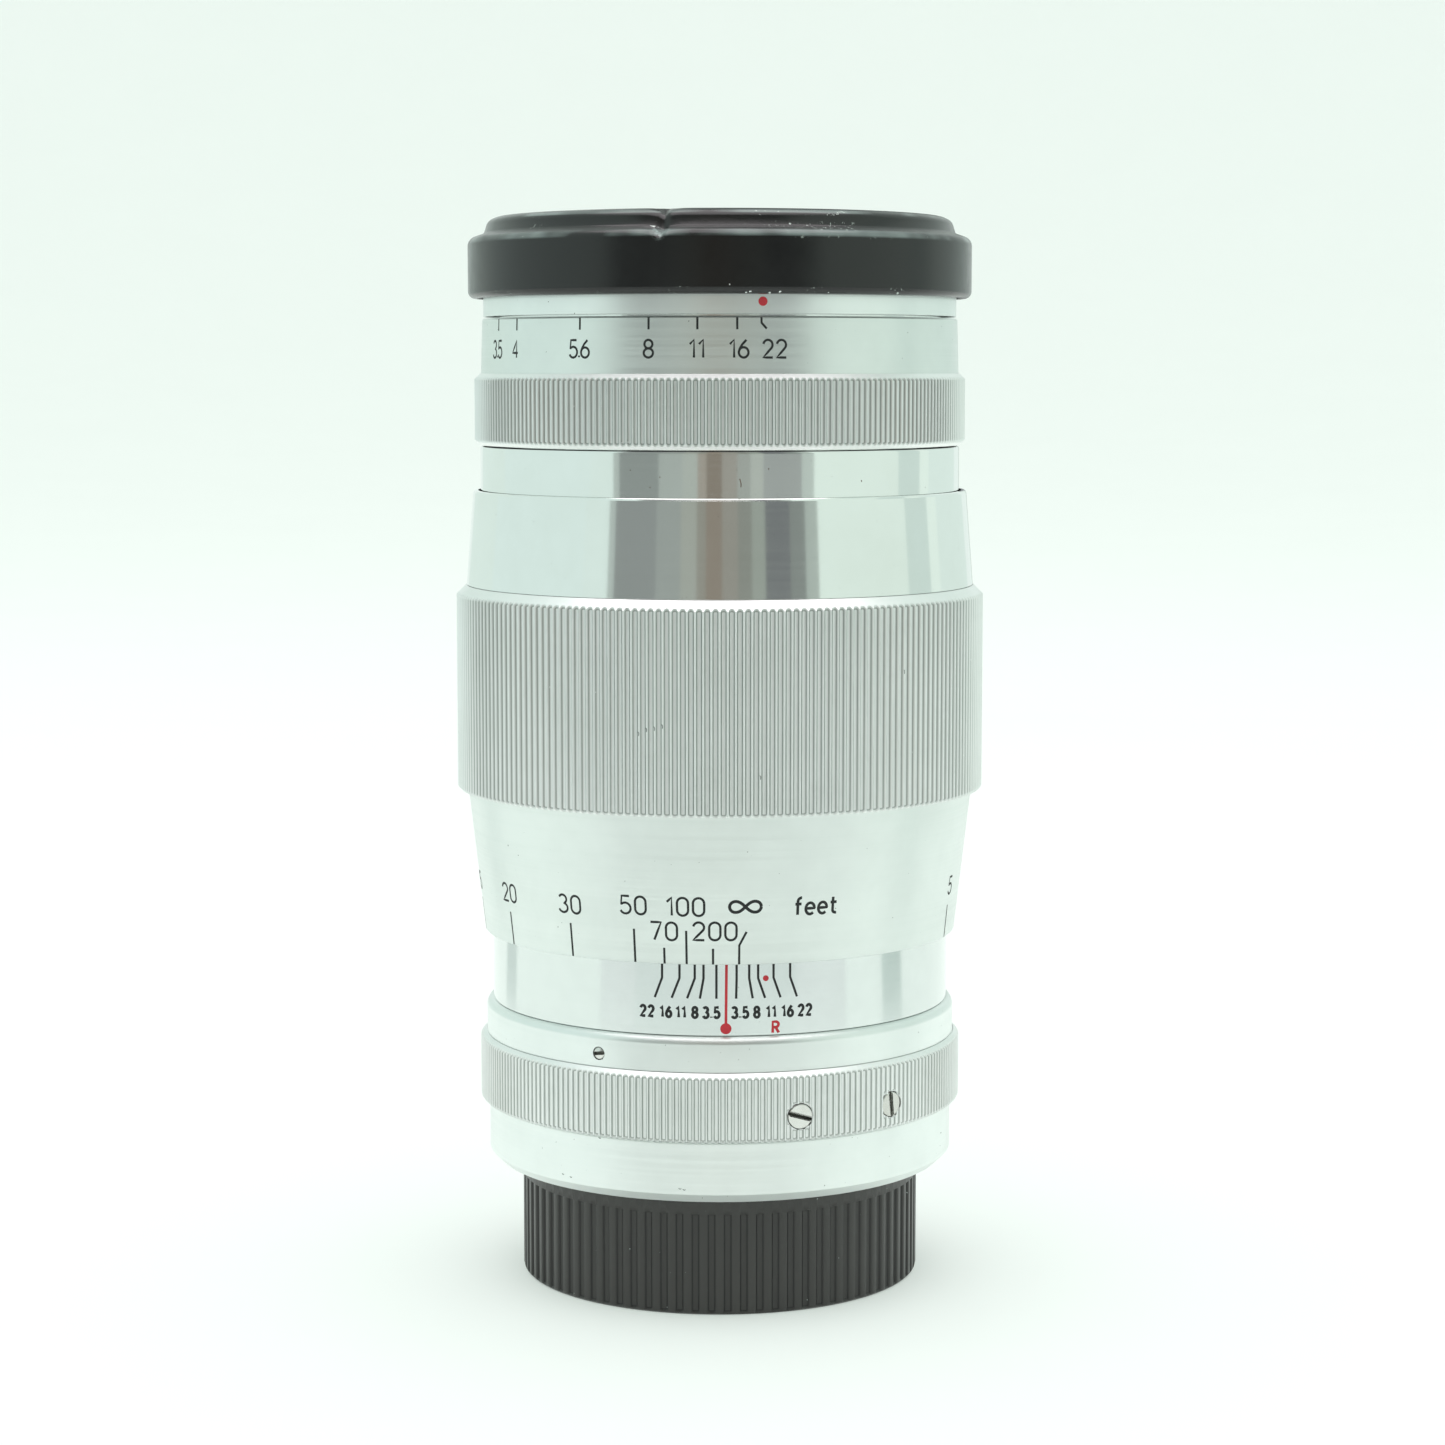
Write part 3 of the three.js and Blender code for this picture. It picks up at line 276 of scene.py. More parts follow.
def chippedEnamel():
    # stove enamel on pressed brass: deep black gloss, with a painted grey highlight along the shoulder and the
    # brim, and chipped to bare metal in places
    finish, tree, shader = newFinish("blackEnamel", IOR=1.55)
    cloud, flakes, areas, scratch = [addNode(tree, "ShaderNodeTexNoise", values={"Scale": 1.0, **look},
                                             links={"Vector": objectSpace(tree, size)})
                                     for size, look in ((9, {"Detail": 4.0, "Roughness": 0.6}),
                                                        (0.55, {"Detail": 3.0, "Roughness": 0.7}),
                                                        (7, {"Detail": 2.0}),
                                                        (2.4, {"Detail": 2.0, "Distortion": 0.6}))]
    # where the enamel flakes, where round the rim it does so, where the shoulder and the brim carry a painted
    # highlight, and how the knock is scuffed
    flaked, chipped, shoulderGleamPatches, brimGleamPatches, scuffed = [
        addNode(tree, "ShaderNodeMapRange", values={"From Min": low, "From Max": high},
                links={"Value": pattern.outputs[0]}).outputs[0]
        for pattern, low, high in ((flakes, 0.60, 0.66), (areas, 0.60, 0.66), (areas, 0.38, 0.62),
                                   (areas, 0.40, 0.60), (flakes, 0.42, 0.62))]
    place = addNode(tree, "ShaderNodeTexCoord").outputs["Object"]
    plan = addNode(tree, "ShaderNodeMapping", values={"Scale": (1, 1, 0)}, links={"Vector": place})
    fromAxis = addNode(tree, "ShaderNodeVectorMath", operation="LENGTH", links={0: plan.outputs[0]})
    # the flat top is left alone
    outer = addNode(tree, "ShaderNodeMapRange", links={"Value": fromAxis.outputs["Value"]},
                    values={"From Min": capWearAndHighlights["flatRadius"] * mm,
                            "From Max": (capWearAndHighlights["flatRadius"] + 0.3) * mm}).outputs[0]
    edges = heightBand(tree, *capWearAndHighlights["chippedBands"][0], 0.12)
    for low, high in capWearAndHighlights["chippedBands"][1:]:
        edges = addNode(tree, "ShaderNodeMath", operation="MAXIMUM",
                        links={0: edges, 1: heightBand(tree, low, high, 0.12)}).outputs[0]
    knock = capWearAndHighlights["knock"]
    around = math.radians(knock["place"])
    spot = (knock["radius"] * math.sin(around) * mm, -knock["radius"] * math.cos(around) * mm,
            knock["height"] * mm)
    away = addNode(tree, "ShaderNodeVectorMath", operation="DISTANCE", values={1: spot}, links={0: place})
    near = addNode(tree, "ShaderNodeMapRange", links={"Value": away.outputs["Value"]},
                   values={"From Min": knock["inner"] * mm, "From Max": knock["outer"] * mm, "To Min": 1.0,
                           "To Max": 0.0}).outputs[0]
    products = []  # chips, scuff, and the painted highlights of the shoulder and the brim, each where all of its masks meet
    for masks in ((flaked, chipped, edges, outer), (near, scuffed),
                  (heightBand(tree, *capWearAndHighlights["paintedShoulderHighlight"]), shoulderGleamPatches),
                  (heightBand(tree, *capWearAndHighlights["paintedBrimHighlight"]), outer, brimGleamPatches)):
        product = masks[0]
        for mask in masks[1:]:
            product = addNode(tree, "ShaderNodeMath", operation="MULTIPLY",
                              links={0: product, 1: mask}).outputs[0]
        products.append(product)
    chips, scuff, shoulder, brim = products
    paintedHighlight = addNode(tree, "ShaderNodeMath", operation="MAXIMUM", links={0: shoulder, 1: brim}).outputs[0]
    shade = addNode(tree, "ShaderNodeMix", data_type="RGBA", links={"Factor": cloud.outputs[0]},
                    values={6: colour("#060606"), 7: colour("#0e0f0f")}).outputs[2]
    # the first colour is a painted highlight on the shoulder and the brim; the scuff and the chips are wear
    for mask, tint in ((paintedHighlight, "#6d7876"), (scuff, "#a3b2b0"), (chips, "#b9c2bd")):
        shade = addNode(tree, "ShaderNodeMix", data_type="RGBA", values={7: colour(tint)},
                        links={"Factor": mask, 6: shade}).outputs[2]
    tree.links.new(shade, shader.inputs["Base Color"])
    tree.links.new(chips, shader.inputs["Metallic"])
    rough = addNode(tree, "ShaderNodeMapRange", values={"To Min": 0.16, "To Max": 0.3},
                    links={"Value": scratch.outputs[0]})
    tree.links.new(rough.outputs[0], shader.inputs["Roughness"])
    level = addNode(tree, "ShaderNodeMath", operation="SUBTRACT", links={0: flakes.outputs[0], 1: chips})
    relief = addNode(tree, "ShaderNodeBump", values={"Strength": 0.5, "Distance": 0.02 * mm},
                     links={"Height": level.outputs[0]})
    tree.links.new(relief.outputs[0], shader.inputs["Normal"])
    return finish


def mattPaint(name, tint):  # lacquer, grime and painted slot shade in a cut: matt, with uneven cover
    finish, tree, shader = newFinish(name, Roughness=0.6, IOR=1.5)
    cover = addNode(tree, "ShaderNodeTexNoise", values={"Scale": 1.0, "Detail": 3.0},
                    links={"Vector": objectSpace(tree, 0.5)})
    thin = [channel * 0.7 for channel in colour(tint)[:3]] + [1]
    tone = addNode(tree, "ShaderNodeMix", data_type="RGBA", values={6: thin, 7: colour(tint)},
                   links={"Factor": cover.outputs[0]})
    tree.links.new(tone.outputs[2], shader.inputs["Base Color"])
    return finish


blackPaint = mattPaint("blackPaint", "#161b1c")  # black lacquer wiped into the engraving: flat black figures
redPaint = mattPaint("redPaint", "#c5202f")  # red lacquer of the index marks: flat and strong
nickGrime = mattPaint("nickGrime", "#6f7673")  # grime in small knocks: grey flecks
slotShadeAndDirt = mattPaint("slotShadeAndDirt", "#75766e")  # painted shade in the screw slots, with old oil and dust: dull grey
headStain = mattPaint("headStain", "#6a5a4c")  # corrosion in a scratch of the head: a brown fleck


# optical glass, ground and polished, single coated: clear, with a violet bloom towards the rim
def opticalGlass(name, coating):
    finish, tree, shader = newFinish(name, IOR=1.62, Roughness=0.0, **{"Transmission Weight": 1.0})
    rim = addNode(tree, "ShaderNodeLayerWeight", values={"Blend": 0.35})
    tone = addNode(tree, "ShaderNodeMix", data_type="RGBA", values={6: colour("#f4f7ff"), 7: colour(coating)},
                   links={"Factor": rim.outputs["Facing"]})
    tree.links.new(tone.outputs[2], shader.inputs["Base Color"])
    return finish


coatedGlass = opticalGlass("coatedGlass", "#b9b4e8")


# wool felt, pressed: fibres 0.02 mm thick, drawn at 0.4 mm to show, which give a soft dead black
def pressedFelt():
    finish, tree, shader = newFinish("blackFelt", Roughness=0.95, **{"Sheen Weight": 0.4})
    fibres = addNode(tree, "ShaderNodeTexNoise", values={"Scale": 1.0, "Detail": 4.0},
                     links={"Vector": objectSpace(tree, 0.4)})
    tone = addNode(tree, "ShaderNodeMix", data_type="RGBA", values={6: colour("#0b0b0c"), 7: colour("#1c1c1e")},
                   links={"Factor": fibres.outputs[0]})
    tree.links.new(tone.outputs[2], shader.inputs["Base Color"])
    nap = addNode(tree, "ShaderNodeBump", values={"Distance": 0.05 * mm}, links={"Height": fibres.outputs[0]})
    tree.links.new(nap.outputs[0], shader.inputs["Normal"])
    return finish


blackFelt = pressedFelt()
blackEnamel = chippedEnamel()
finishBySlot = {
    "black_moulded": blackMoulded, "polished_aluminium": polishedAluminium,
    "knurled_aluminium": knurledAluminium,
    "satin_aluminium": satinAluminium, "nickel_steel": nickelSteel, "turned_brass": turnedBrass,
    "black_anodised": blackAnodised, "coated_glass": coatedGlass, "blued_steel": bluedSteel,
    "black_enamel": blackEnamel, "black_felt": blackFelt,
}
# every CAD node gets its finish; most of those in sight are replaced below
for part in frame["record"]["subparts"]:
    for socket in frame["nodes"][part["node"]].material_slots:
        socket.material = finishBySlot[part["material_slot"]]
print("finishes made:", len(bpy.data.materials))

def turned(outline, steps):
    # spins an outline of (radius, height) corners round the axis; a third number rounds a corner by so many mm,
    # a fourth is its segments
    bm = bmesh.new()
    corners = [bm.verts.new((0, -point[0] * mm, point[1] * mm)) for point in outline]
    for start, end in zip(corners, corners[1:]):
        bm.edges.new((start, end))
    if outline[0][0] > 0 or outline[-1][0] > 0:
        bm.edges.new((corners[-1], corners[0]))
    for corner, point in zip(corners, outline):
        if len(point) > 2:
            bmesh.ops.bevel(bm, geom=[corner], offset=point[2] * mm, offset_type="OFFSET", affect="VERTICES",
                            segments=point[3] if len(point) > 3 else 1, profile=0.5, material=-1)
    bmesh.ops.spin(bm, geom=bm.verts[:] + bm.edges[:], cent=(0, 0, 0), axis=(0, 0, 1), dvec=(0, 0, 0),
                   angle=2 * math.pi, steps=steps, use_merge=True, use_duplicate=False)
    bmesh.ops.remove_doubles(bm, verts=bm.verts, dist=1e-7)
    bmesh.ops.recalc_face_normals(bm, faces=bm.faces)
    return bm


def cutTeeth(bm, knurl):
    # knurl["tooth"] lists, for each step round one tooth, its share of the pitch and of the depth
    tooth, teeth = knurl["tooth"], knurl["teeth"]
    count = teeth * len(tooth)
    grooves = bm.verts.layers.float.new("groove")  # how deep each point was cut, for the finish
    for vert in bm.verts:
        radius = math.hypot(vert.co.x, vert.co.y)
        step = round(math.atan2(vert.co.x, -vert.co.y) / (2 * math.pi) * count) % count
        share, depth = tooth[step % len(tooth)]
        angle = 2 * math.pi * (step // len(tooth) + share) / teeth
        height = vert.co.z / mm
        if radius / mm > knurl["radius"] - 1e-3 and knurl["low"] - 1e-3 < height < knurl["high"] + 1e-3:
            vert[grooves] = depth
            cut = depth * knurl["depth"]
            radius -= cut * mm
            for end, slope in (("high", knurl["topSlope"]), ("low", -knurl["footSlope"])):
                # the groove runs out on the bevel, which stays clean
                if slope and abs(height - knurl[end]) < 1e-3:
                    height += cut * slope
                    vert[grooves] = 0
        vert.co = (radius * math.sin(angle), -radius * math.cos(angle), height * mm)


def evenShading(piece):  # keeps narrow bevels from tilting the shading of the wide walls beside them
    even = piece.modifiers.new("evenShading", "WEIGHTED_NORMAL")
    even.weight, even.keep_sharp = 100, True


def finishPiece(bm, name, finishes, body, nodes, crease=25, choose=None):
    for face in bm.faces:
        face.smooth = True
        if choose:
            face.material_index = choose(face)
    for edge in bm.edges:
        edge.smooth = len(edge.link_faces) != 2 or edge.calc_face_angle(0) < math.radians(crease)
    mesh = bpy.data.meshes.new(name)
    bm.to_mesh(mesh)
    bm.free()
    piece = bpy.data.objects.new(name, mesh)
    bpy.context.scene.collection.objects.link(piece)
    for finish in finishes:
        mesh.materials.append(finish)
    evenShading(piece)
    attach(piece, body)
    if nodes:
        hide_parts(*nodes)
    return piece


# turns +Z outwards and moves it to a place on a round surface; x runs to the right, y up
def facing(place, height, radius):
    angle = math.radians(place)
    right = Vector((math.cos(angle), math.sin(angle), 0))
    outward = Vector((math.sin(angle), -math.cos(angle), 0))
    spot = outward * radius * mm + Vector((0, 0, height * mm))
    turn = Matrix((right, Vector((0, 0, 1)), outward)).transposed().to_4x4()
    return Matrix.Translation(spot) @ turn


knurlTooth = [(-0.08, 0.0), (0.08, 0.0), (0.20, 0.72), (0.38, 1.0), (0.62, 1.0), (0.80, 0.72)]


rearCap = {
    "outline": [(0, 0.35), (17.4, 0.35), (17.9, 0), (22.8, 0, 0.55, 3), (22.8, 11.3), (22.8, 11.35),
                (22.8, 13.2, 0.25, 2), (20.1, 13.2, 0.3, 2), (20.1, 1.2, 0.5, 3), (0, 1.2)],
    "ribs": {"teeth": 80, "tooth": [(-0.22, 0), (0.22, 0), (0.29, 0.85), (0.38, 1), (0.62, 1), (0.71, 0.85)],
             "radius": 22.8, "depth": 0.26,
             "low": 0.5, "high": 11.3, "topSlope": 0, "footSlope": 0.35},
}


def makeRearCap():
    bm = turned(rearCap["outline"], 480)
    cutTeeth(bm, rearCap["ribs"])
    return finishPiece(bm, "rearCap", [blackMoulded], "rear_cap", ["rear_cap"], crease=30)


makeRearCap()
print("rear cap done")

mount = {
    "outline": [(17.6, 8.9, 0.2), (19.5, 8.9, 0.4), (19.5, 13.3), (19.1, 13.3), (19.1, 13.5), (25.6, 13.5),
                (26.6, 14.5), (26.6, 20.2, 0.12),
                (25.4, 20.2), (25.4, 27.2, 0.2), (17.6, 27.2)],
    "thread": {"bottom": 9.5, "top": 12.9, "pitch": 0.977, "crest": 19.72, "depth": 0.45, "stepsPerTurn": 72},
}
collar = {
    "outline": [(25.7, 20.5), (27.45, 20.5), (27.6, 20.65), (27.6, 20.8), (27.6, 21.5), (27.6, 22.2),
                (27.6, 23.1), (27.6, 24.0), (27.6, 24.7), (27.6, 27.25), (27.6, 27.4), (27.0, 28.0),
                (25.7, 28.0)],
    "knurl": {"teeth": 240, "tooth": knurlTooth, "radius": 27.6, "depth": 0.26, "low": 20.65, "high": 27.4,
              "topSlope": 1, "footSlope": 1},
    # kind, number, place and turn of the slot
    "screws": [("collar", 1, 18.6, 17), ("collar", 2, 138.6, 33), ("collar", 3, 258.6, 83),
               ("key", 1, 43.5, 84), ("key", 2, 223.5, 114)],
    # the face of a head stands just inside the crests of the knurl
    "head": {"height": 23.1, "face": 27.5, "radius": 1.4, "depth": 1.2, "slotShare": 0.18},
    "hole": {"room": 0.06, "bottom": 26.2, "top": 28.5},
}
clampRing = {
    "outline": [(25.7, 28.02), (26.85, 28.02, 0.04), (26.85, 31.15, 0.12), (26.55, 31.68, 0.12), (26.1, 31.9),
                (25.7, 31.9)],
    # number, place and turn of the slot
    "screws": [(1, -29.4, -8), (2, 90.6, 40), (3, 210.6, 75)],
    "head": {"height": 29.5, "face": 26.78, "radius": 0.65, "depth": 0.7, "slotShare": 0.4},
    "hole": {"room": 0.09, "bottom": 26.0, "top": 27.5},
}


# cuts (place, height, hole radius, bottom radius, top radius) holes that point at the axis
def drill(piece, holes, crease=30):
    bm = bmesh.new()
    for place, height, radius, bottom, top in holes:
        bmesh.ops.create_cone(bm, cap_ends=True, segments=40, radius1=radius * mm, radius2=radius * mm,
                              depth=(top - bottom) * mm,
                              matrix=facing(place, height, (top + bottom) / 2))
    cutterMesh = bpy.data.meshes.new("drillBits")
    bm.to_mesh(cutterMesh)
    bm.free()
    cutter = bpy.data.objects.new("drillBits", cutterMesh)
    bpy.context.scene.collection.objects.link(cutter)
    piece.modifiers.clear()
    bite = piece.modifiers.new("holes", "BOOLEAN")
    bite.object, bite.operation, bite.solver = cutter, "DIFFERENCE", "EXACT"
    bpy.context.view_layer.update()
    cutMesh = bpy.data.meshes.new_from_object(piece.evaluated_get(bpy.context.evaluated_depsgraph_get()))
    piece.modifiers.remove(bite)
    old, piece.data = piece.data, cutMesh
    bpy.data.meshes.remove(old)
    bpy.data.objects.remove(cutter)
    bpy.data.meshes.remove(cutterMesh)
    cutMesh.name = piece.name
    bm = bmesh.new()
    bm.from_mesh(cutMesh)
    for edge in bm.edges:
        edge.smooth = len(edge.link_faces) == 2 and edge.calc_face_angle(0) < math.radians(crease)
    bm.to_mesh(cutMesh)
    bm.free()
    evenShading(piece)


def slottedHead(radius, depth, slotWidth, slotDepth, slotTurn, matrix):
    # a round head with a sawn slot across it, its face at z = 0 before it is placed
    bm = bmesh.new()
    bmesh.ops.create_circle(bm, cap_ends=True, segments=48, radius=radius * mm)
    for side in (-1, 1):
        bmesh.ops.bisect_plane(bm, geom=bm.verts[:] + bm.edges[:] + bm.faces[:],
                               plane_co=(0, side * slotWidth / 2 * mm, 0), plane_no=(0, 1, 0))
    faces = bm.faces[:]
    slot = [face for face in faces if abs(face.calc_center_median().y) < slotWidth / 2 * mm]
    rim = [edge for edge in bm.edges if len(edge.link_faces) == 1]
    skirt = bmesh.ops.extrude_edge_only(bm, edges=rim)
    bmesh.ops.translate(bm, vec=(0, 0, -depth * mm),
                        verts=[v for v in skirt["geom"] if isinstance(v, bmesh.types.BMVert)])
    sunk = bmesh.ops.extrude_face_region(bm, geom=slot)
    bmesh.ops.translate(bm, vec=(0, 0, -slotDepth * mm),
                        verts=[v for v in sunk["geom"] if isinstance(v, bmesh.types.BMVert)])
    bmesh.ops.delete(bm, geom=slot, context="FACES")
    bottom = [edge for edge in bm.edges if len(edge.link_faces) == 1]
    bmesh.ops.holes_fill(bm, edges=bottom, sides=0)
    bmesh.ops.remove_doubles(bm, verts=bm.verts, dist=1e-7)
    top = [edge for edge in bm.edges if all(abs(v.co.z) < 1e-7 for v in edge.verts)
           and all(math.hypot(v.co.x, v.co.y) > (radius - 0.01) * mm for v in edge.verts)]
    bmesh.ops.bevel(bm, geom=top, offset=0.12 * radius * mm, offset_type="OFFSET", affect="EDGES", segments=2,
                    profile=0.5, material=-1)
    bmesh.ops.recalc_face_normals(bm, faces=bm.faces)
    for face in bm.faces:  # the slot floor takes painted shade, with old oil and dust
        middle = face.calc_center_median() / mm
        if middle.z < -0.3 * slotDepth and abs(middle.y) < slotWidth * 0.6 and abs(middle.x) < radius * 0.9:
            face.material_index = 1
    bmesh.ops.transform(bm, matrix=matrix @ Matrix.Rotation(math.radians(-slotTurn), 4, "Z"), verts=bm.verts)
    return bm


def makeScrew(name, node, place, slotTurn, screw):
    slotWidth, slotDepth = screw["slotShare"] * screw["radius"], 0.6 * screw["radius"]
    bm = slottedHead(screw["radius"], screw["depth"], slotWidth, slotDepth, slotTurn,
                     facing(place, screw["height"], screw["face"]))
    finishPiece(bm, name, [nickelSteel, slotShadeAndDirt], "barrel", [node], crease=30)


def makeThread(thread):  # a helical ridge round the tail of the mount
    turns = (thread["top"] - thread["bottom"]) / thread["pitch"]
    steps = int(turns * thread["stepsPerTurn"])
    crest, root = thread["crest"], thread["crest"] - thread["depth"]
    bm = bmesh.new()
    # radius, and height as a share of the pitch
    ridge = [(root, -0.46), (crest, -0.06), (crest, 0.06), (root, 0.46)]
    verts = [bm.verts.new((0, -radius * mm, (thread["bottom"] + share * thread["pitch"]) * mm))
             for radius, share in ridge]
    bm.faces.new(verts)
    bmesh.ops.spin(bm, geom=bm.verts[:] + bm.edges[:] + bm.faces[:], cent=(0, 0, 0), axis=(0, 0, 1),
                   dvec=(0, 0, thread["pitch"] * turns / steps * mm), angle=2 * math.pi * turns, steps=steps,
                   use_merge=False, use_duplicate=False)
    bmesh.ops.recalc_face_normals(bm, faces=bm.faces)
    finishPiece(bm, "mountThread", [satinAluminium], "barrel", [], crease=30)


def makeMount():
    finishPiece(turned(mount["outline"], 256), "lensMount", [satinAluminium], "barrel", ["lens_mount"])
    makeThread(mount["thread"])
    bm = turned(collar["outline"], 240 * len(knurlTooth))
    cutTeeth(bm, collar["knurl"])
    piece = finishPiece(bm, "mountCollar", [knurledAluminium], "barrel", ["mount_collar"],
                        crease=36)
    head, hole = collar["head"], collar["hole"]
    drill(piece, [(place, head["height"], head["radius"] + hole["room"], hole["bottom"], hole["top"])
                  for kind, number, place, turn in collar["screws"]])
    for kind, number, place, turn in collar["screws"]:
        makeScrew("%sScrew%d" % (kind, number), "%s_screw_%d" % (kind, number), place, turn, head)
    piece = finishPiece(turned(clampRing["outline"], 256), "clampRing", [satinAluminium], "barrel",
                        ["clamp_ring"])
    head, hole = clampRing["head"], clampRing["hole"]
    drill(piece, [(place, head["height"], head["radius"] + hole["room"], hole["bottom"], hole["top"])
                  for number, place, turn in clampRing["screws"]])
    for number, place, turn in clampRing["screws"]:
        makeScrew("clampScrew%d" % number, "clamp_screw_%d" % number, place, turn, head)


makeMount()
print("mount, collar and clamp ring done")

depthBarrel = {"outline": [(25.1, 27.5), (25.4, 27.5), (25.4, 31.95), (26.1, 31.95, 0.06), (26.1, 70.0, 0.2),
                           (24.8, 70.0, 0.2), (24.8, 33.7), (25.1, 33.7)]}
focusRing = {
    "outline": [(26.4, 39.9), (26.95, 39.9, 0.06), (28.8, 56.0), (28.8, 56.2), (29.75, 56.2), (30.0, 56.45),
                (30.0, 56.6), (30.0, 78.05), (30.0, 78.2), (28.9, 79.3), (28.73, 79.3), (28.73, 70.0),
                (26.4, 70.0), (26.4, 68.0), (27.9, 68.0), (27.9, 56.8), (26.4, 56.8)],
    "knurl": {"teeth": 216, "tooth": knurlTooth, "radius": 30.0, "depth": 0.30, "low": 56.45, "high": 78.2,
              "topSlope": 1, "footSlope": 0.8},
}
sleeve = {"outline": [(27.47, 73.5), (28.07, 73.5), (28.07, 79.34), (28.84, 79.34, 0.04), (28.02, 89.85, 0.12),
                      (27.8, 90.0), (27.47, 90.0)]}


def makeFocusing():
    finishPiece(turned(depthBarrel["outline"], 256), "depthScaleBarrel", [brightAluminium], "barrel",
                ["depth_scale_barrel"])
    bm = turned(focusRing["outline"], 216 * len(knurlTooth))
    cutTeeth(bm, focusRing["knurl"])
    finishPiece(bm, "focusRing", [scaleAluminium, knurledAluminium], "focus", ["focus_ring"],
                crease=36,
                choose=lambda face: 1 if face.calc_center_median().z > 56.1 * mm else 0)
    finishPiece(turned(sleeve["outline"], 288), "frontSleeve", [polishedAluminium], "focus", ["front_sleeve"])


makeFocusing()
print("focus ring and sleeve done")

head = {"outline": [(26.2, 73.8), (27.17, 73.8, 0.15), (27.17, 95.0, 0.3, 2), (25.0, 95.0), (25.0, 112.85, 0.2),
                    (23.9, 112.85), (23.9, 90.16), (19.5, 90.16), (19.5, 88.16), (26.2, 88.16)]}
apertureRing = {
    "outline": [(25.4, 95.12), (27.25, 95.12), (27.8, 95.7), (27.8, 95.85), (27.8, 102.35), (27.8, 102.5),
                (27.15, 103.15), (27.05, 103.15), (26.88, 109.05), (26.72, 109.25), (25.4, 109.25)],
    "knurl": {"teeth": 240, "tooth": knurlTooth, "radius": 27.8, "depth": 0.26, "low": 95.7, "high": 102.5,
              "topSlope": 1, "footSlope": 1},
}
frontRing = {"outline": [(25.3, 109.55), (26.75, 109.45, 0.05), (26.75, 111.85, 0.1), (26.45, 111.85),
                         (26.45, 117.25, 0.4, 3), (24.0, 117.25, 0.3), (24.0, 113.15), (25.3, 113.15)]}
nameRing = {"outline": [(18.7, 113.15), (23.7, 113.15), (23.7, 114.35, 0.1), (22.5, 114.35, 0.15),
                        (18.7, 113.55, 0.1)]}
frontRetainer = {"outline": [(19.2, 111.7), (20.3, 111.7), (20.3, 112.75), (19.2, 112.75, 0.2)]}
frontCell = {"outline": [(17.2, 98.3, 0.2), (23.5, 98.3), (23.5, 112.75, 0.1), (20.6, 112.75, 0.15),
                         (20.6, 101.0), (17.2, 101.0, 0.2)]}
frontElement = {"radius": 20.3, "lowRim": 109.3, "highRim": 111.1, "lowBulge": 0.0, "highBulge": 3.5}
secondElement = {"radius": 20.3, "lowRim": 105.3, "highRim": 107.3, "lowBulge": -1.1, "highBulge": 1.4}
thirdElement = {"radius": 20.3, "lowRim": 101.3, "highRim": 105.0, "lowBulge": 1.6, "highBulge": -1.1,
                "lowRadius": 16.8}
rearElement = {"radius": 15.0, "lowRim": 60.7, "highRim": 63.4, "lowBulge": -1.0, "highBulge": 1.6}
rearCell = {"outline": [(13.8, 64.0), (15.3, 64.0), (15.3, 56.0, 0.2), (20.5, 56.0, 0.2), (20.5, 66.3),
                        (13.8, 66.3, 0.2)]}
rearRetainer = {"outline": [(13.6, 58.5, 0.25), (15.0, 58.5, 0.1), (15.0, 60.1), (13.6, 60.1, 0.1)]}
camTube = {"outline": [(16.4, 6.0, 0.1), (17.2, 6.0, 0.1), (17.2, 27.8), (20.45, 27.8, 0.1), (20.45, 29.3, 0.1),
                       (16.4, 29.3, 0.1)]}


# points on a sphere's face from the axis to the rim; bulge is its height over the rim
def bulging(radius, rim, bulge, count=20):
    if not bulge:
        return [(0, rim), (radius, rim)]
    sphere = (radius ** 2 + bulge ** 2) / (2 * bulge)
    spread = [radius * i / count for i in range(count + 1)]
    return [(r, rim + bulge - sphere + math.copysign(math.sqrt(sphere ** 2 - r ** 2), bulge)) for r in spread]


# a ground element: the outline runs over its lower face, round the rim and back over the upper face
def makeGlass(name, glass, node):
    lower = bulging(glass.get("lowRadius", glass["radius"]), glass["lowRim"], glass["lowBulge"])
    if "lowRadius" in glass:
        lower.append((glass["radius"], glass["lowRim"]))
    upper = bulging(glass["radius"], glass["highRim"], glass["highBulge"])
    finishPiece(turned(lower + upper[::-1], 128), name, [coatedGlass], "lens_head", [node])


def makeInside():  # what shows with the caps off
    makeGlass("frontElement", frontElement, "front_element")
    makeGlass("secondElement", secondElement, "second_element")
    makeGlass("thirdElement", thirdElement, "third_element")
    makeGlass("rearElement", rearElement, "rear_element")
    for name, piece, node in (("frontRetainer", frontRetainer, "front_retaining_ring"),
                              ("frontCell", frontCell, "front_cell"),
                              ("rearCell", rearCell, "rear_cell"),
                              ("rearRetainer", rearRetainer, "rear_retaining_ring")):
        finishPiece(turned(piece["outline"], 160), name, [blackAnodised], "lens_head", [node])
    finishPiece(turned(camTube["outline"], 160), "camTube", [turnedBrass], "cam", ["rangefinder_cam_tube"])


def makeHead():
    finishPiece(turned(head["outline"], 288), "headBarrel", [polishedAluminium], "lens_head", ["head_barrel"])
    bm = turned(apertureRing["outline"], 240 * len(knurlTooth))
    cutTeeth(bm, apertureRing["knurl"])
    finishPiece(bm, "apertureRing", [scaleAluminium, knurledAluminium], "aperture", ["aperture_ring"],
                crease=36,
                choose=lambda face: 1 if face.calc_center_median().z < 103.1 * mm else 0)
    finishPiece(turned(frontRing["outline"], 256), "frontRing", [satinAluminium], "lens_head", ["front_ring"])
    finishPiece(turned(nameRing["outline"], 192), "nameRing", [blackAnodised], "lens_head", ["name_ring"])


makeHead()
makeInside()
print("lens head and glass done")

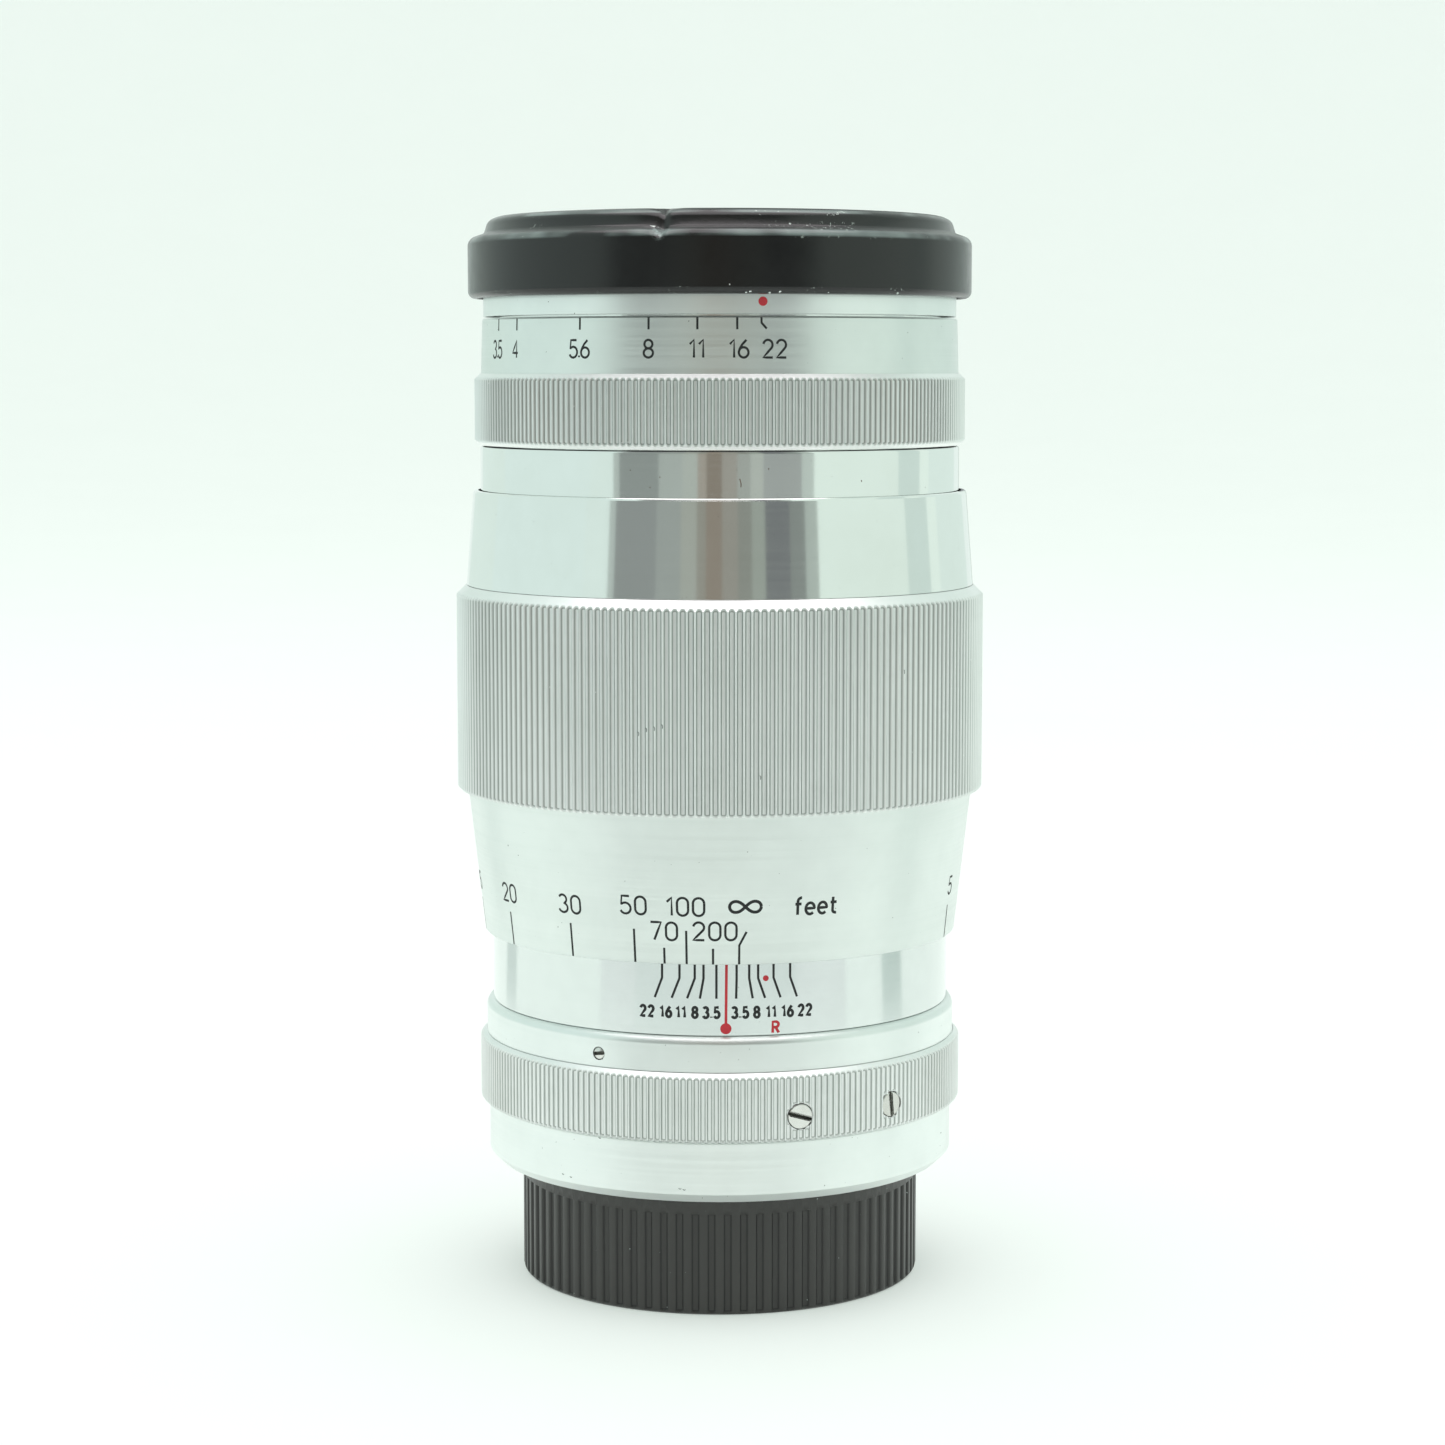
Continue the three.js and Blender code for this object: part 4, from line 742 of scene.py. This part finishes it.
frontCap = {
    "outline": [(0, 120.3), (0, 119.5), (25.6, 119.5), (25.6, 117.85), (27.35, 117.0), (27.35, 111.5, 0.1),
                (28.45, 111.5, 0.8, 5), (28.45, 118.1, 0.7, 5), (26.62, 118.75, 0.12), (26.2, 120.1, 0.4, 3),
                (25.2, 120.6, 0.4, 3), (23.6, 120.6, 0.25, 2), (23.3, 120.3, 0.2)],
    # a broad dip and a sharp notch, in degrees wide and mm deep, felt outside a radius and over a height
    "dent": {"place": -13.0, "wide": 2.6, "narrow": 0.7, "fall": 0.22, "notch": 0.38, "inward": 0.3,
             "radius": 23.7, "height": 116.9},
    "chips": [(-54, 117.92), (-49.4, 117.9), (-48.9, 118.0), (-48.4, 117.86), (52, 117.9), (5.5, 111.65),
              (6.3, 111.72), (10.6, 111.66), (12.8, 111.7), (2.0, 112.5), (24, 111.7)],
    # scattered over the far side
    "strayChips": {"from": 80, "to": 280, "count": 26, "heights": (111.68, 111.75, 117.9, 117.98)},
}
lining = {"outline": [(26.75, 111.8), (27.05, 111.8), (27.05, 116.7), (26.75, 116.7)]}


def pressDent(bm, dent):  # a knock on the rim has pressed the disc and the shoulder in
    for vert in bm.verts:
        radius = math.hypot(vert.co.x, vert.co.y)
        if radius < dent["radius"] * mm or vert.co.z < dent["height"] * mm:
            continue
        away = math.degrees(math.atan2(vert.co.x, -vert.co.y)) - dent["place"]
        hit = dent["fall"] * math.exp(-(away / dent["wide"]) ** 2)
        hit += dent["notch"] * math.exp(-(away / dent["narrow"]) ** 2)
        hit *= min(1, (radius / mm - dent["radius"]) / 1.6) * min(1, (vert.co.z / mm - dent["height"]) / 1.2)
        vert.co.z -= hit * mm
        vert.co.x *= 1 - hit * dent["inward"] * mm / radius
        vert.co.y *= 1 - hit * dent["inward"] * mm / radius


def makeFrontCap():
    bm = turned(frontCap["outline"], 480)
    pressDent(bm, frontCap["dent"])
    finishPiece(bm, "frontCap", [blackEnamel], "front_cap", ["front_cap"], crease=40)
    random.seed(7)
    chips, stray = Scale(capWall, 28.0), frontCap["strayChips"]
    spots = list(frontCap["chips"])
    while len(spots) < len(frontCap["chips"]) + stray["count"]:
        spots.append((random.uniform(stray["from"], stray["to"]), random.choice(stray["heights"])))
    for place, height in spots:
        long, turn = random.uniform(0.08, 0.35), random.uniform(-0.5, 0.5)
        chips.line([(place, height), (place + long, height + turn * 0.12),
                    (place + long * 1.6, height + turn * 0.05)],
                   random.uniform(0.08, 0.16))
    chips.make("capChips", satinAluminium, "front_cap", "black_enamel", lift=0.03)
    finishPiece(turned(lining["outline"], 128), "capLining", [blackFelt], "front_cap", ["cap_lining"])


def bend(x, y, across, up, start, end, count=12):  # points along part of an ellipse, angles in degrees
    turns = [math.radians(start + (end - start) * i / count) for i in range(count + 1)]
    return [(x + across * math.cos(a), y + up * math.sin(a)) for a in turns]


# width and pen strokes of each sign, for a height of 1
signs = {
    "0": (0.58, [bend(0.29, 0.70, 0.29, 0.30, 0, 180) + bend(0.29, 0.30, 0.29, 0.30, 180, 360)
                 + [(0.58, 0.70)]]),
    "1": (0.30, [[(0.02, 0.76), (0.27, 1.0), (0.27, 0.0)]]),
    "2": (0.58, [bend(0.29, 0.72, 0.28, 0.28, 170, -35) + [(0.0, 0.0), (0.58, 0.0)]]),
    "3": (0.58, [bend(0.28, 0.76, 0.25, 0.24, 155, -75) + bend(0.28, 0.27, 0.30, 0.27, 75, -160)]),
    "4": (0.60, [[(0.46, 0.0), (0.46, 1.0), (0.0, 0.28), (0.60, 0.28)]]),
    "5": (0.58, [[(0.52, 1.0), (0.10, 1.0), (0.05, 0.54)] + bend(0.28, 0.31, 0.30, 0.31, 132, -155)]),
    "6": (0.58, [[(0.46, 1.0), (0.22, 0.76), (0.07, 0.52)] + bend(0.29, 0.29, 0.29, 0.29, 165, 540, 24)]),
    "7": (0.56, [[(0.0, 1.0), (0.56, 1.0), (0.18, 0.0)]]),
    "8": (0.58, [bend(0.29, 0.76, 0.25, 0.24, -90, 270, 20), bend(0.29, 0.26, 0.29, 0.26, 90, 450, 20)]),
    "9": (0.58, [[(0.12, 0.0), (0.36, 0.24), (0.51, 0.48)] + bend(0.29, 0.71, 0.29, 0.29, -15, 360, 24)]),
    ".": (0.08, [[(0.04, 0.02), (0.04, 0.12)]]),
    "R": (0.56, [[(0.0, 0.0), (0.0, 1.0), (0.28, 1.0)] + bend(0.28, 0.75, 0.26, 0.25, 90, -90) + [(0.0, 0.5)],
                 [(0.26, 0.5), (0.56, 0.0)]]),
    "f": (0.38, [[(0.14, 0.0), (0.14, 0.78)] + bend(0.34, 0.78, 0.20, 0.20, 180, 85),
                 [(0.0, 0.62), (0.34, 0.62)]]),
    "e": (0.52, [[(0.02, 0.34), (0.50, 0.34)] + bend(0.26, 0.33, 0.25, 0.33, 5, 315, 18)]),
    "t": (0.38, [[(0.14, 0.92), (0.14, 0.16)] + bend(0.32, 0.16, 0.18, 0.16, 180, 285),
                 [(0.0, 0.62), (0.36, 0.62)]]),
}
signs["∞"] = (1.4, [[(0.7 + 0.98 * math.cos(t) / (1 + math.sin(t) ** 2),
                      0.5 + 0.98 * math.sin(t) * math.cos(t) / (1 + math.sin(t) ** 2))
                    for t in [math.pi * i / 24 for i in range(49)]]])


def wordStrokes(word, height, squeeze, spacing):  # strokes of a number, centred on its own middle
    strokes, pen = [], 0
    for sign in word:
        width, lines = signs[sign]
        strokes += [[((pen + x * squeeze) * height, (y - 0.5) * height) for x, y in line] for line in lines]
        pen += width * squeeze + spacing
    middle = (pen - spacing) * height / 2
    return [[(x - middle, y) for x, y in line] for line in strokes]


class Scale:  # collects engraved strokes on one round surface, then makes them one thin wrapped mesh
    def __init__(self, radiusAt, reference):
        self.radiusAt, self.reference, self.strokes = radiusAt, reference, []

    def word(self, word, place, height, size, pen, squeeze=1.0, spacing=0.2):
        shift, stretch = math.radians(place) * self.reference, self.reference / self.radiusAt(height)
        for line in wordStrokes(word, size, squeeze, spacing):
            self.strokes.append((pen, [(x * stretch + shift, y + height) for x, y in line]))

    def line(self, points, pen):  # (place, height) points
        self.strokes.append((pen, [(math.radians(place) * self.reference, height) for place, height in points]))

    def make(self, name, finish, body, slotName, lift=0.006):
        curve = bpy.data.curves.new(name, "CURVE")
        curve.dimensions, curve.use_fill_caps = "3D", True
        curve.bevel_depth, curve.bevel_resolution = 0.5 * mm, 1
        for pen, points in self.strokes:
            fine = [points[0]]
            for a, b in zip(points, points[1:]):  # short steps, so that a stroke follows the round surface
                count = max(1, math.ceil(abs(b[0] - a[0]) / 0.5))
                fine += [(a[0] + (b[0] - a[0]) * i / count, a[1] + (b[1] - a[1]) * i / count)
                         for i in range(1, count + 1)]
            spline = curve.splines.new("POLY")
            spline.points.add(len(fine) - 1)
            for point, (x, y) in zip(spline.points, fine):
                point.co, point.radius = (x * mm, y * mm, 0, 1), pen
        carrier = bpy.data.objects.new(name, curve)
        bpy.context.scene.collection.objects.link(carrier)
        bpy.context.view_layer.update()
        mesh = bpy.data.meshes.new_from_object(carrier.evaluated_get(bpy.context.evaluated_depsgraph_get()))
        bpy.data.objects.remove(carrier)
        bm = bmesh.new()
        bm.from_mesh(mesh)
        bpy.data.meshes.remove(mesh)
        for vert in bm.verts:
            angle, height = vert.co.x / (self.reference * mm), vert.co.z * 0.1
            radius = self.radiusAt(vert.co.y / mm) * mm + height + lift * mm
            vert.co = (radius * math.sin(angle), -radius * math.cos(angle), vert.co.y)
        bmesh.ops.recalc_face_normals(bm, faces=bm.faces)
        return finishPiece(bm, name, [finish], body, [], crease=60)


def paintDot(name, place, height, radius, surface, body, slotName):
    bm = bmesh.new()
    bmesh.ops.create_cone(bm, cap_ends=True, segments=40, radius1=radius * mm, radius2=radius * 0.96 * mm,
                          depth=0.06 * mm, matrix=facing(place, height, surface))
    return finishPiece(bm, name, [redPaint], body, [], crease=30)


def coneRadius(height):
    return 26.95 + (height - 39.9) / 16.1 * 1.85


def bandRadius(height):
    return 27.05 - (height - 103.15) / 5.9 * 0.17


def capWall(height):  # the cap's outside radius, over its rounded lip, wall and shoulder
    low, high = 111.5 + 0.8, 118.1 - 0.7
    if height < low:
        return 28.45 - 0.8 + math.sqrt(max(0, 0.64 - (low - height) ** 2))
    if height > high:
        return 28.45 - 0.7 + math.sqrt(max(0, 0.49 - (height - high) ** 2))
    return 28.45


makeFrontCap()
print("front cap done")

nicks = {  # small knocks: place and height, and the length of those on the head
    "grip": [(-11.67, 66.0), (-13.33, 65.75), (-15.0, 65.6), (-16.67, 65.15), (8.33, 60.6), (41.67, 71.2),
             (128.33, 64.0), (-138.33, 70.0)],
    "head": [(4.5, 92.1, 0.9), (-13.5, 92.3, 0.12), (-15.8, 91.2, 0.1), (11.0, 93.2, 0.15), (-20.5, 93.0, 0.1),
             (34, 91.8, 0.2), (150, 92.2, 0.4)],
    "base": [(-40.5, 15.25), (-38.0, 15.1), (-9.3, 15.1), (-8.3, 15.0), (-29.5, 20.0), (71, 17.2), (146, 16.3),
             (-120, 18.4)],
    "gripPen": 0.085, "headPen": 0.11, "basePen": 0.09,
}


def makeNicks():
    marks = Scale(lambda height: 30.0, 30.0)  # across the crests of the focusing grip
    for place, height in nicks["grip"]:
        marks.line([(place - 0.14, height + 0.18), (place + 0.06, height), (place, height - 0.26)],
                   nicks["gripPen"])
    marks.make("gripNicks", nickGrime, "focus", "knurled_aluminium")
    pits = Scale(lambda height: 27.17, 27.17)
    for place, height, long in nicks["head"]:
        pits.line([(place, height), (place + 0.35 * long, height - long * 0.6),
                   (place + 0.3 * long, height - long)], nicks["headPen"])
    pits.make("headPits", headStain, "lens_head", "polished_aluminium")
    knocks = Scale(lambda height: 26.6, 26.6)
    for place, height in nicks["base"]:
        knocks.line([(place - 0.35, height + 0.1), (place, height), (place + 0.3, height + 0.07)],
                    nicks["basePen"])
    knocks.make("baseKnocks", nickGrime, "barrel", "satin_aluminium")


focusScale = {
    # place and height of each
    "numbers": [("15", -81.59, 45.71), ("20", -57.83, 45.83), ("30", -36.31, 45.77), ("50", -19.74, 46.27),
                ("100", -7.66, 46.30), ("70", -12.67, 43.54), ("200", -1.08, 43.62), ("5", 69.73, 45.87)],
    "figure": 1.96, "pen": 0.26, "linePen": 0.25, "foot": 39.95, "longTop": 43.65, "shortTop": 41.7,
    "longLines": (-81.9, -58.1, -36.36, -19.73, -7.55), "shortLines": (-12.7, -1.5),
    "infinity": 4.46, "nearest": (69.66, 69.33),
    # distances on the far side in feet; travel is how far one turn moves the head, in mm
    "farSide": (12, 10, 8, 7, 6), "farHeight": 45.8, "focalLength": 135, "travel": 17.94,
}


def makeFocusScale():
    scale, foot, top = Scale(coneRadius, 27.5), focusScale["foot"], focusScale["longTop"]
    figure, pen, linePen = focusScale["figure"], focusScale["pen"], focusScale["linePen"]
    infinity = focusScale["infinity"]
    for word, place, height in focusScale["numbers"]:
        scale.word(word, place, height, figure, pen, squeeze=1.06, spacing=0.27)
    scale.word("∞", 5.75, 46.32, 1.75, 0.34)
    scale.word("feet", 22.17, 46.20, 1.9, 0.32, squeeze=1.06, spacing=0.22)
    for place in focusScale["longLines"]:
        scale.line([(place, foot), (place, top)], linePen)
    for place in focusScale["shortLines"]:
        scale.line([(place, foot), (place, focusScale["shortTop"])], linePen)
    scale.line([(infinity, foot), (infinity, 42.06), (infinity + 1.61, 43.55)], linePen)
    scale.line([(focusScale["nearest"][0], foot), (focusScale["nearest"][1], top)], linePen)
    focal = focusScale["focalLength"]
    for feet in focusScale["farSide"]:  # the far side of the ring, from the lens equation
        away = feet * 304.8
        image = (away - math.sqrt(away * away - 4 * focal * away)) / 2
        place = infinity - (image - focal) / focusScale["travel"] * 360
        scale.word(str(feet), place, focusScale["farHeight"], figure, pen, squeeze=1.06, spacing=0.27)
        scale.line([(place, foot), (place, top)], linePen)
    scale.make("focusScale", blackPaint, "focus", "satin_aluminium")


depthScale = {
    "radius": 26.1, "pen": 0.26, "top": 39.75, "bend": 38.25, "foot": 36.05,
    # places at the top and at the foot
    "lines": [(-13.79, -15.60), (-9.56, -11.46), (-5.91, -7.74), (-3.82, -4.69), (-0.76, -0.76),
              (4.03, 3.92), (7.03, 7.87), (9.17, 10.86), (12.90, 14.63), (17.00, 18.72)],
    "words": [("22", -17.55), ("16", -12.92), ("11", -9.30), ("8", -5.88), ("3.5", -1.98),
              ("3.5", 4.86), ("8", 8.87), ("11", 12.28), ("16", 16.36), ("22", 20.76)],
    "figure": 1.14, "figureHeight": 34.52, "figurePen": 0.32,
    "index": [(1.63, 39.75), (1.48, 32.9)], "indexPen": 0.3, "indexDot": (1.48, 32.76, 0.62),
    "infraredDot": (11.02, 38.21, 0.33),
}


def makeDepthScale():
    radius = depthScale["radius"]
    scale = Scale(lambda height: radius, radius)
    for top, foot in depthScale["lines"]:
        scale.line([(top, depthScale["top"]), (top, depthScale["bend"]), (foot, depthScale["foot"])],
                   depthScale["pen"])
    for word, place in depthScale["words"]:
        scale.word(word, place, depthScale["figureHeight"], depthScale["figure"], depthScale["figurePen"],
                   squeeze=0.80, spacing=0.34 if "." not in word else 0.26)
    scale.make("depthScale", blackPaint, "barrel", "satin_aluminium")
    index = Scale(lambda height: radius, radius)
    index.line(depthScale["index"], depthScale["indexPen"])
    index.word("R", 13.46, 32.80, 1.2, 0.31, squeeze=1.0)
    index.make("indexLine", redPaint, "barrel", "satin_aluminium")
    paintDot("indexDot", *depthScale["indexDot"], radius, "barrel", "satin_aluminium")
    paintDot("infraredDot", *depthScale["infraredDot"], radius, "barrel", "satin_aluminium")


apertureScale = {
    "lines": (-64.57, -55.11, -33.67, -16.21, -5.00, 3.97), "top": 109.1, "foot": 107.82, "pen": 0.24,
    "smallest": [(9.45, 109.1), (9.5, 108.5), (10.67, 107.89)],  # the last line is bent to clear the one before
    "words": [("3.5", -65.14), ("4", -55.66), ("5.6", -33.81), ("8", -16.22), ("11", -5.16), ("16", 4.37),
              ("22", 12.49)],
    "figure": 1.86, "figureHeight": 105.79, "figurePen": 0.25, "dot": (9.86, 110.77, 0.5), "dotSurface": 26.75,
}


def makeApertureScale():
    scale = Scale(bandRadius, 27.0)
    for place in apertureScale["lines"]:
        scale.line([(place, apertureScale["top"]), (place, apertureScale["foot"])], apertureScale["pen"])
    scale.line(apertureScale["smallest"], apertureScale["pen"])
    for word, place in apertureScale["words"]:
        scale.word(word, place, apertureScale["figureHeight"], apertureScale["figure"],
                   apertureScale["figurePen"], squeeze=0.95, spacing=0.24 if "." not in word else 0.1)
    scale.make("apertureScale", blackPaint, "aperture", "satin_aluminium")
    paintDot("apertureIndexDot", *apertureScale["dot"], apertureScale["dotSurface"], "lens_head",
             "satin_aluminium")


makeNicks()
makeFocusScale()
makeDepthScale()
makeApertureScale()
print("scales engraved")

studio = {
    "haze": "#fafffb", "hazeStrength": 0.985,
    "softbox": {"height": 1.3, "size": 1.5, "power": 8.0, "tint": (1.0, 0.9, 0.95)},
    "sweep": [(0, 0), (1.7, 0), (2.3, 0.18), (2.75, 0.62), (3.0, 1.3), (3.05, 2.2)],
    "cardDistance": 0.62, "cardHeight": 1.1,
    # grey cards that only the gloss sees, by direction round the axis from the camera's side, with their shade
    "sideCards": [(-176, -158, "#ecf8f3"), (-158, -122, "#e0f0e9"), (-122, -62, "#dff0eb"),
                  (-62, -50, "#dfefe9"), (44, 92, "#e3f2e9"), (92, 108, "#d0e1da"), (108, 116, "#e8f7ee"),
                  (116, 150, "#e0f0e9"), (150, 164, "#ecf8f3"), (164, 170, "#d8e6de"), (170, 177, "#93999a"),
                  (177, 184, "#a9b0ac")],
    "lowCards": [(-50, -47, "#b4bfba"), (-47, -28, "#8e9693"), (-28, -17, "#aab3ae"), (-17, -10, "#afb7b0"),
                 (-10, -6, "#a29c92"), (-6, 1, "#867e73"), (1, 8, "#9c9a92"), (8, 14, "#a2a8a2"),
                 (14, 20, "#b3bab3"), (20, 38, "#a2a8a5"), (38, 44, "#bcc8c1")],
    "highCards": [(-50, -47, "#b4bfba"), (-47, -28, "#8f9593"), (-28, -17, "#9aa19d"), (-17, -10, "#a3a8a0"),
                  (-10, -6, "#93938a"), (-6, 1, "#8f877c"), (1, 8, "#96958d"), (8, 14, "#8b8f88"),
                  (14, 20, "#9aa29a"), (20, 31, "#75797a"), (31, 38, "#858c88"), (38, 44, "#acb7b0")],
    "cardSplit": 0.105,
    "tableCards": [(-130, -118, "#dde9e4"), (-58, -40, "#f4faf8"), (-40, 36, "#ebf4f1"), (36, 62, "#f4faf8"),
                   (84, 98, "#d2e1db")],
    "tableCardSpan": (0.175, 0.36),
    "camera": {"sensor": 36.0, "lens": 83.33, "location": (0.00031, -0.38195, 0.10407), "dip": 6.10},
}


def makeTable():
    bm = bmesh.new()  # a flat round table whose rim rises like a paper sweep on every side
    corners = [bm.verts.new((0, -radius, height)) for radius, height in studio["sweep"]]
    for start, end in zip(corners, corners[1:]):
        bm.edges.new((start, end))
    bmesh.ops.spin(bm, geom=bm.verts[:] + bm.edges[:], cent=(0, 0, 0), axis=(0, 0, 1), dvec=(0, 0, 0),
                   angle=2 * math.pi, steps=96, use_merge=True, use_duplicate=False)
    bmesh.ops.remove_doubles(bm, verts=bm.verts, dist=1e-6)
    for face in bm.faces:
        face.smooth = True
        if face.normal.z < 0:
            face.normal_flip()
    mesh = bpy.data.meshes.new("table")
    bm.to_mesh(mesh)
    bm.free()
    table = bpy.data.objects.new("table", mesh)
    bpy.context.scene.collection.objects.link(table)
    # matt white board, with a little light of its own so that shadows on it stay faint
    finish, tree, shader = newFinish("paleTable", Roughness=0.9,
                                     **{"Specular IOR Level": 0.2, "Emission Color": colour("#effaf3"),
                                        "Emission Strength": 0.36})
    cloud = addNode(tree, "ShaderNodeTexNoise", values={"Scale": 1.0, "Detail": 3.0},
                    links={"Vector": objectSpace(tree, 60)})
    tone = addNode(tree, "ShaderNodeMix", data_type="RGBA", values={6: colour("#c6cac8"), 7: colour("#c8ccca")},
                   links={"Factor": cloud.outputs[0]})
    tree.links.new(tone.outputs[2], shader.inputs["Base Color"])
    mesh.materials.append(finish)
    smooth = table.modifiers.new("roundSweep", "SUBSURF")
    smooth.levels = smooth.render_levels = 2


def makeCard(name, low, high, start, end, shade):
    # sweeps an edge between two (radius, height) points round the axis; only glossy reflections see the card
    bm = bmesh.new()
    turn = Matrix.Rotation(math.radians(start), 3, "Z")
    verts = [bm.verts.new(turn @ Vector((0, -radius, height))) for radius, height in (low, high)]
    edge = bm.edges.new(verts)
    bmesh.ops.spin(bm, geom=verts + [edge], cent=(0, 0, 0), axis=(0, 0, 1), dvec=(0, 0, 0),
                   angle=math.radians(end - start), steps=max(1, round((end - start) / 4)),
                   use_merge=False, use_duplicate=False)
    mesh = bpy.data.meshes.new(name)
    bm.to_mesh(mesh)
    bm.free()
    card = bpy.data.objects.new(name, mesh)
    bpy.context.scene.collection.objects.link(card)
    finish = bpy.data.materials.new(name + "Shade")
    finish.use_nodes = True
    finish.node_tree.nodes.clear()
    glow = addNode(finish.node_tree, "ShaderNodeEmission", values={"Color": colour(shade), "Strength": 1.0})
    addNode(finish.node_tree, "ShaderNodeOutputMaterial", links={"Surface": glow.outputs[0]})
    mesh.materials.append(finish)
    card.visible_camera = card.visible_diffuse = card.visible_shadow = card.visible_transmission = False


# the room as polished metal sees it: grey cards on an arc, and a duller patch of table in front
def makeCards():
    away, split, top = studio["cardDistance"], studio["cardSplit"], studio["cardHeight"]
    for row, bottom, upper in (("sideCards", 0, top), ("lowCards", 0, split), ("highCards", split, top)):
        for number, (start, end, shade) in enumerate(studio[row]):
            makeCard("%s%d" % (row, number + 1), (away, bottom), (away, upper), start, end, shade)
    near, far = studio["tableCardSpan"]
    for number, (start, end, shade) in enumerate(studio["tableCards"]):
        makeCard("tableCard%d" % (number + 1), (near, 0.002), (far, 0.002), start, end, shade)


def makeLight():
    world = bpy.data.worlds.new("paleRoom")
    bpy.context.scene.world = world
    world.use_nodes = True
    world.node_tree.nodes.clear()
    haze = addNode(world.node_tree, "ShaderNodeBackground",
                   values={"Color": colour(studio["haze"]), "Strength": studio["hazeStrength"]})
    addNode(world.node_tree, "ShaderNodeOutputWorld", links={"Surface": haze.outputs[0]})
    softbox = studio["softbox"]
    lamp = bpy.data.lights.new("softbox", "AREA")
    lamp.shape, lamp.size, lamp.energy, lamp.color = "DISK", softbox["size"], softbox["power"], softbox["tint"]
    box = bpy.data.objects.new("softbox", lamp)
    box.location = (0, 0, softbox["height"])
    box.visible_camera = False
    bpy.context.scene.collection.objects.link(box)


def makeCamera():
    camera = studio["camera"]
    lens = bpy.data.cameras.new("camera")
    lens.sensor_width, lens.lens = camera["sensor"], camera["lens"]
    view = bpy.data.objects.new("camera", lens)
    view.location = camera["location"]
    view.rotation_euler = (math.radians(90 - camera["dip"]), 0, 0)
    bpy.context.scene.collection.objects.link(view)
    bpy.context.scene.camera = view


makeTable()
makeCards()
makeLight()
makeCamera()
bpy.context.scene.view_settings.view_transform = "Standard"
print("table, light and camera done")
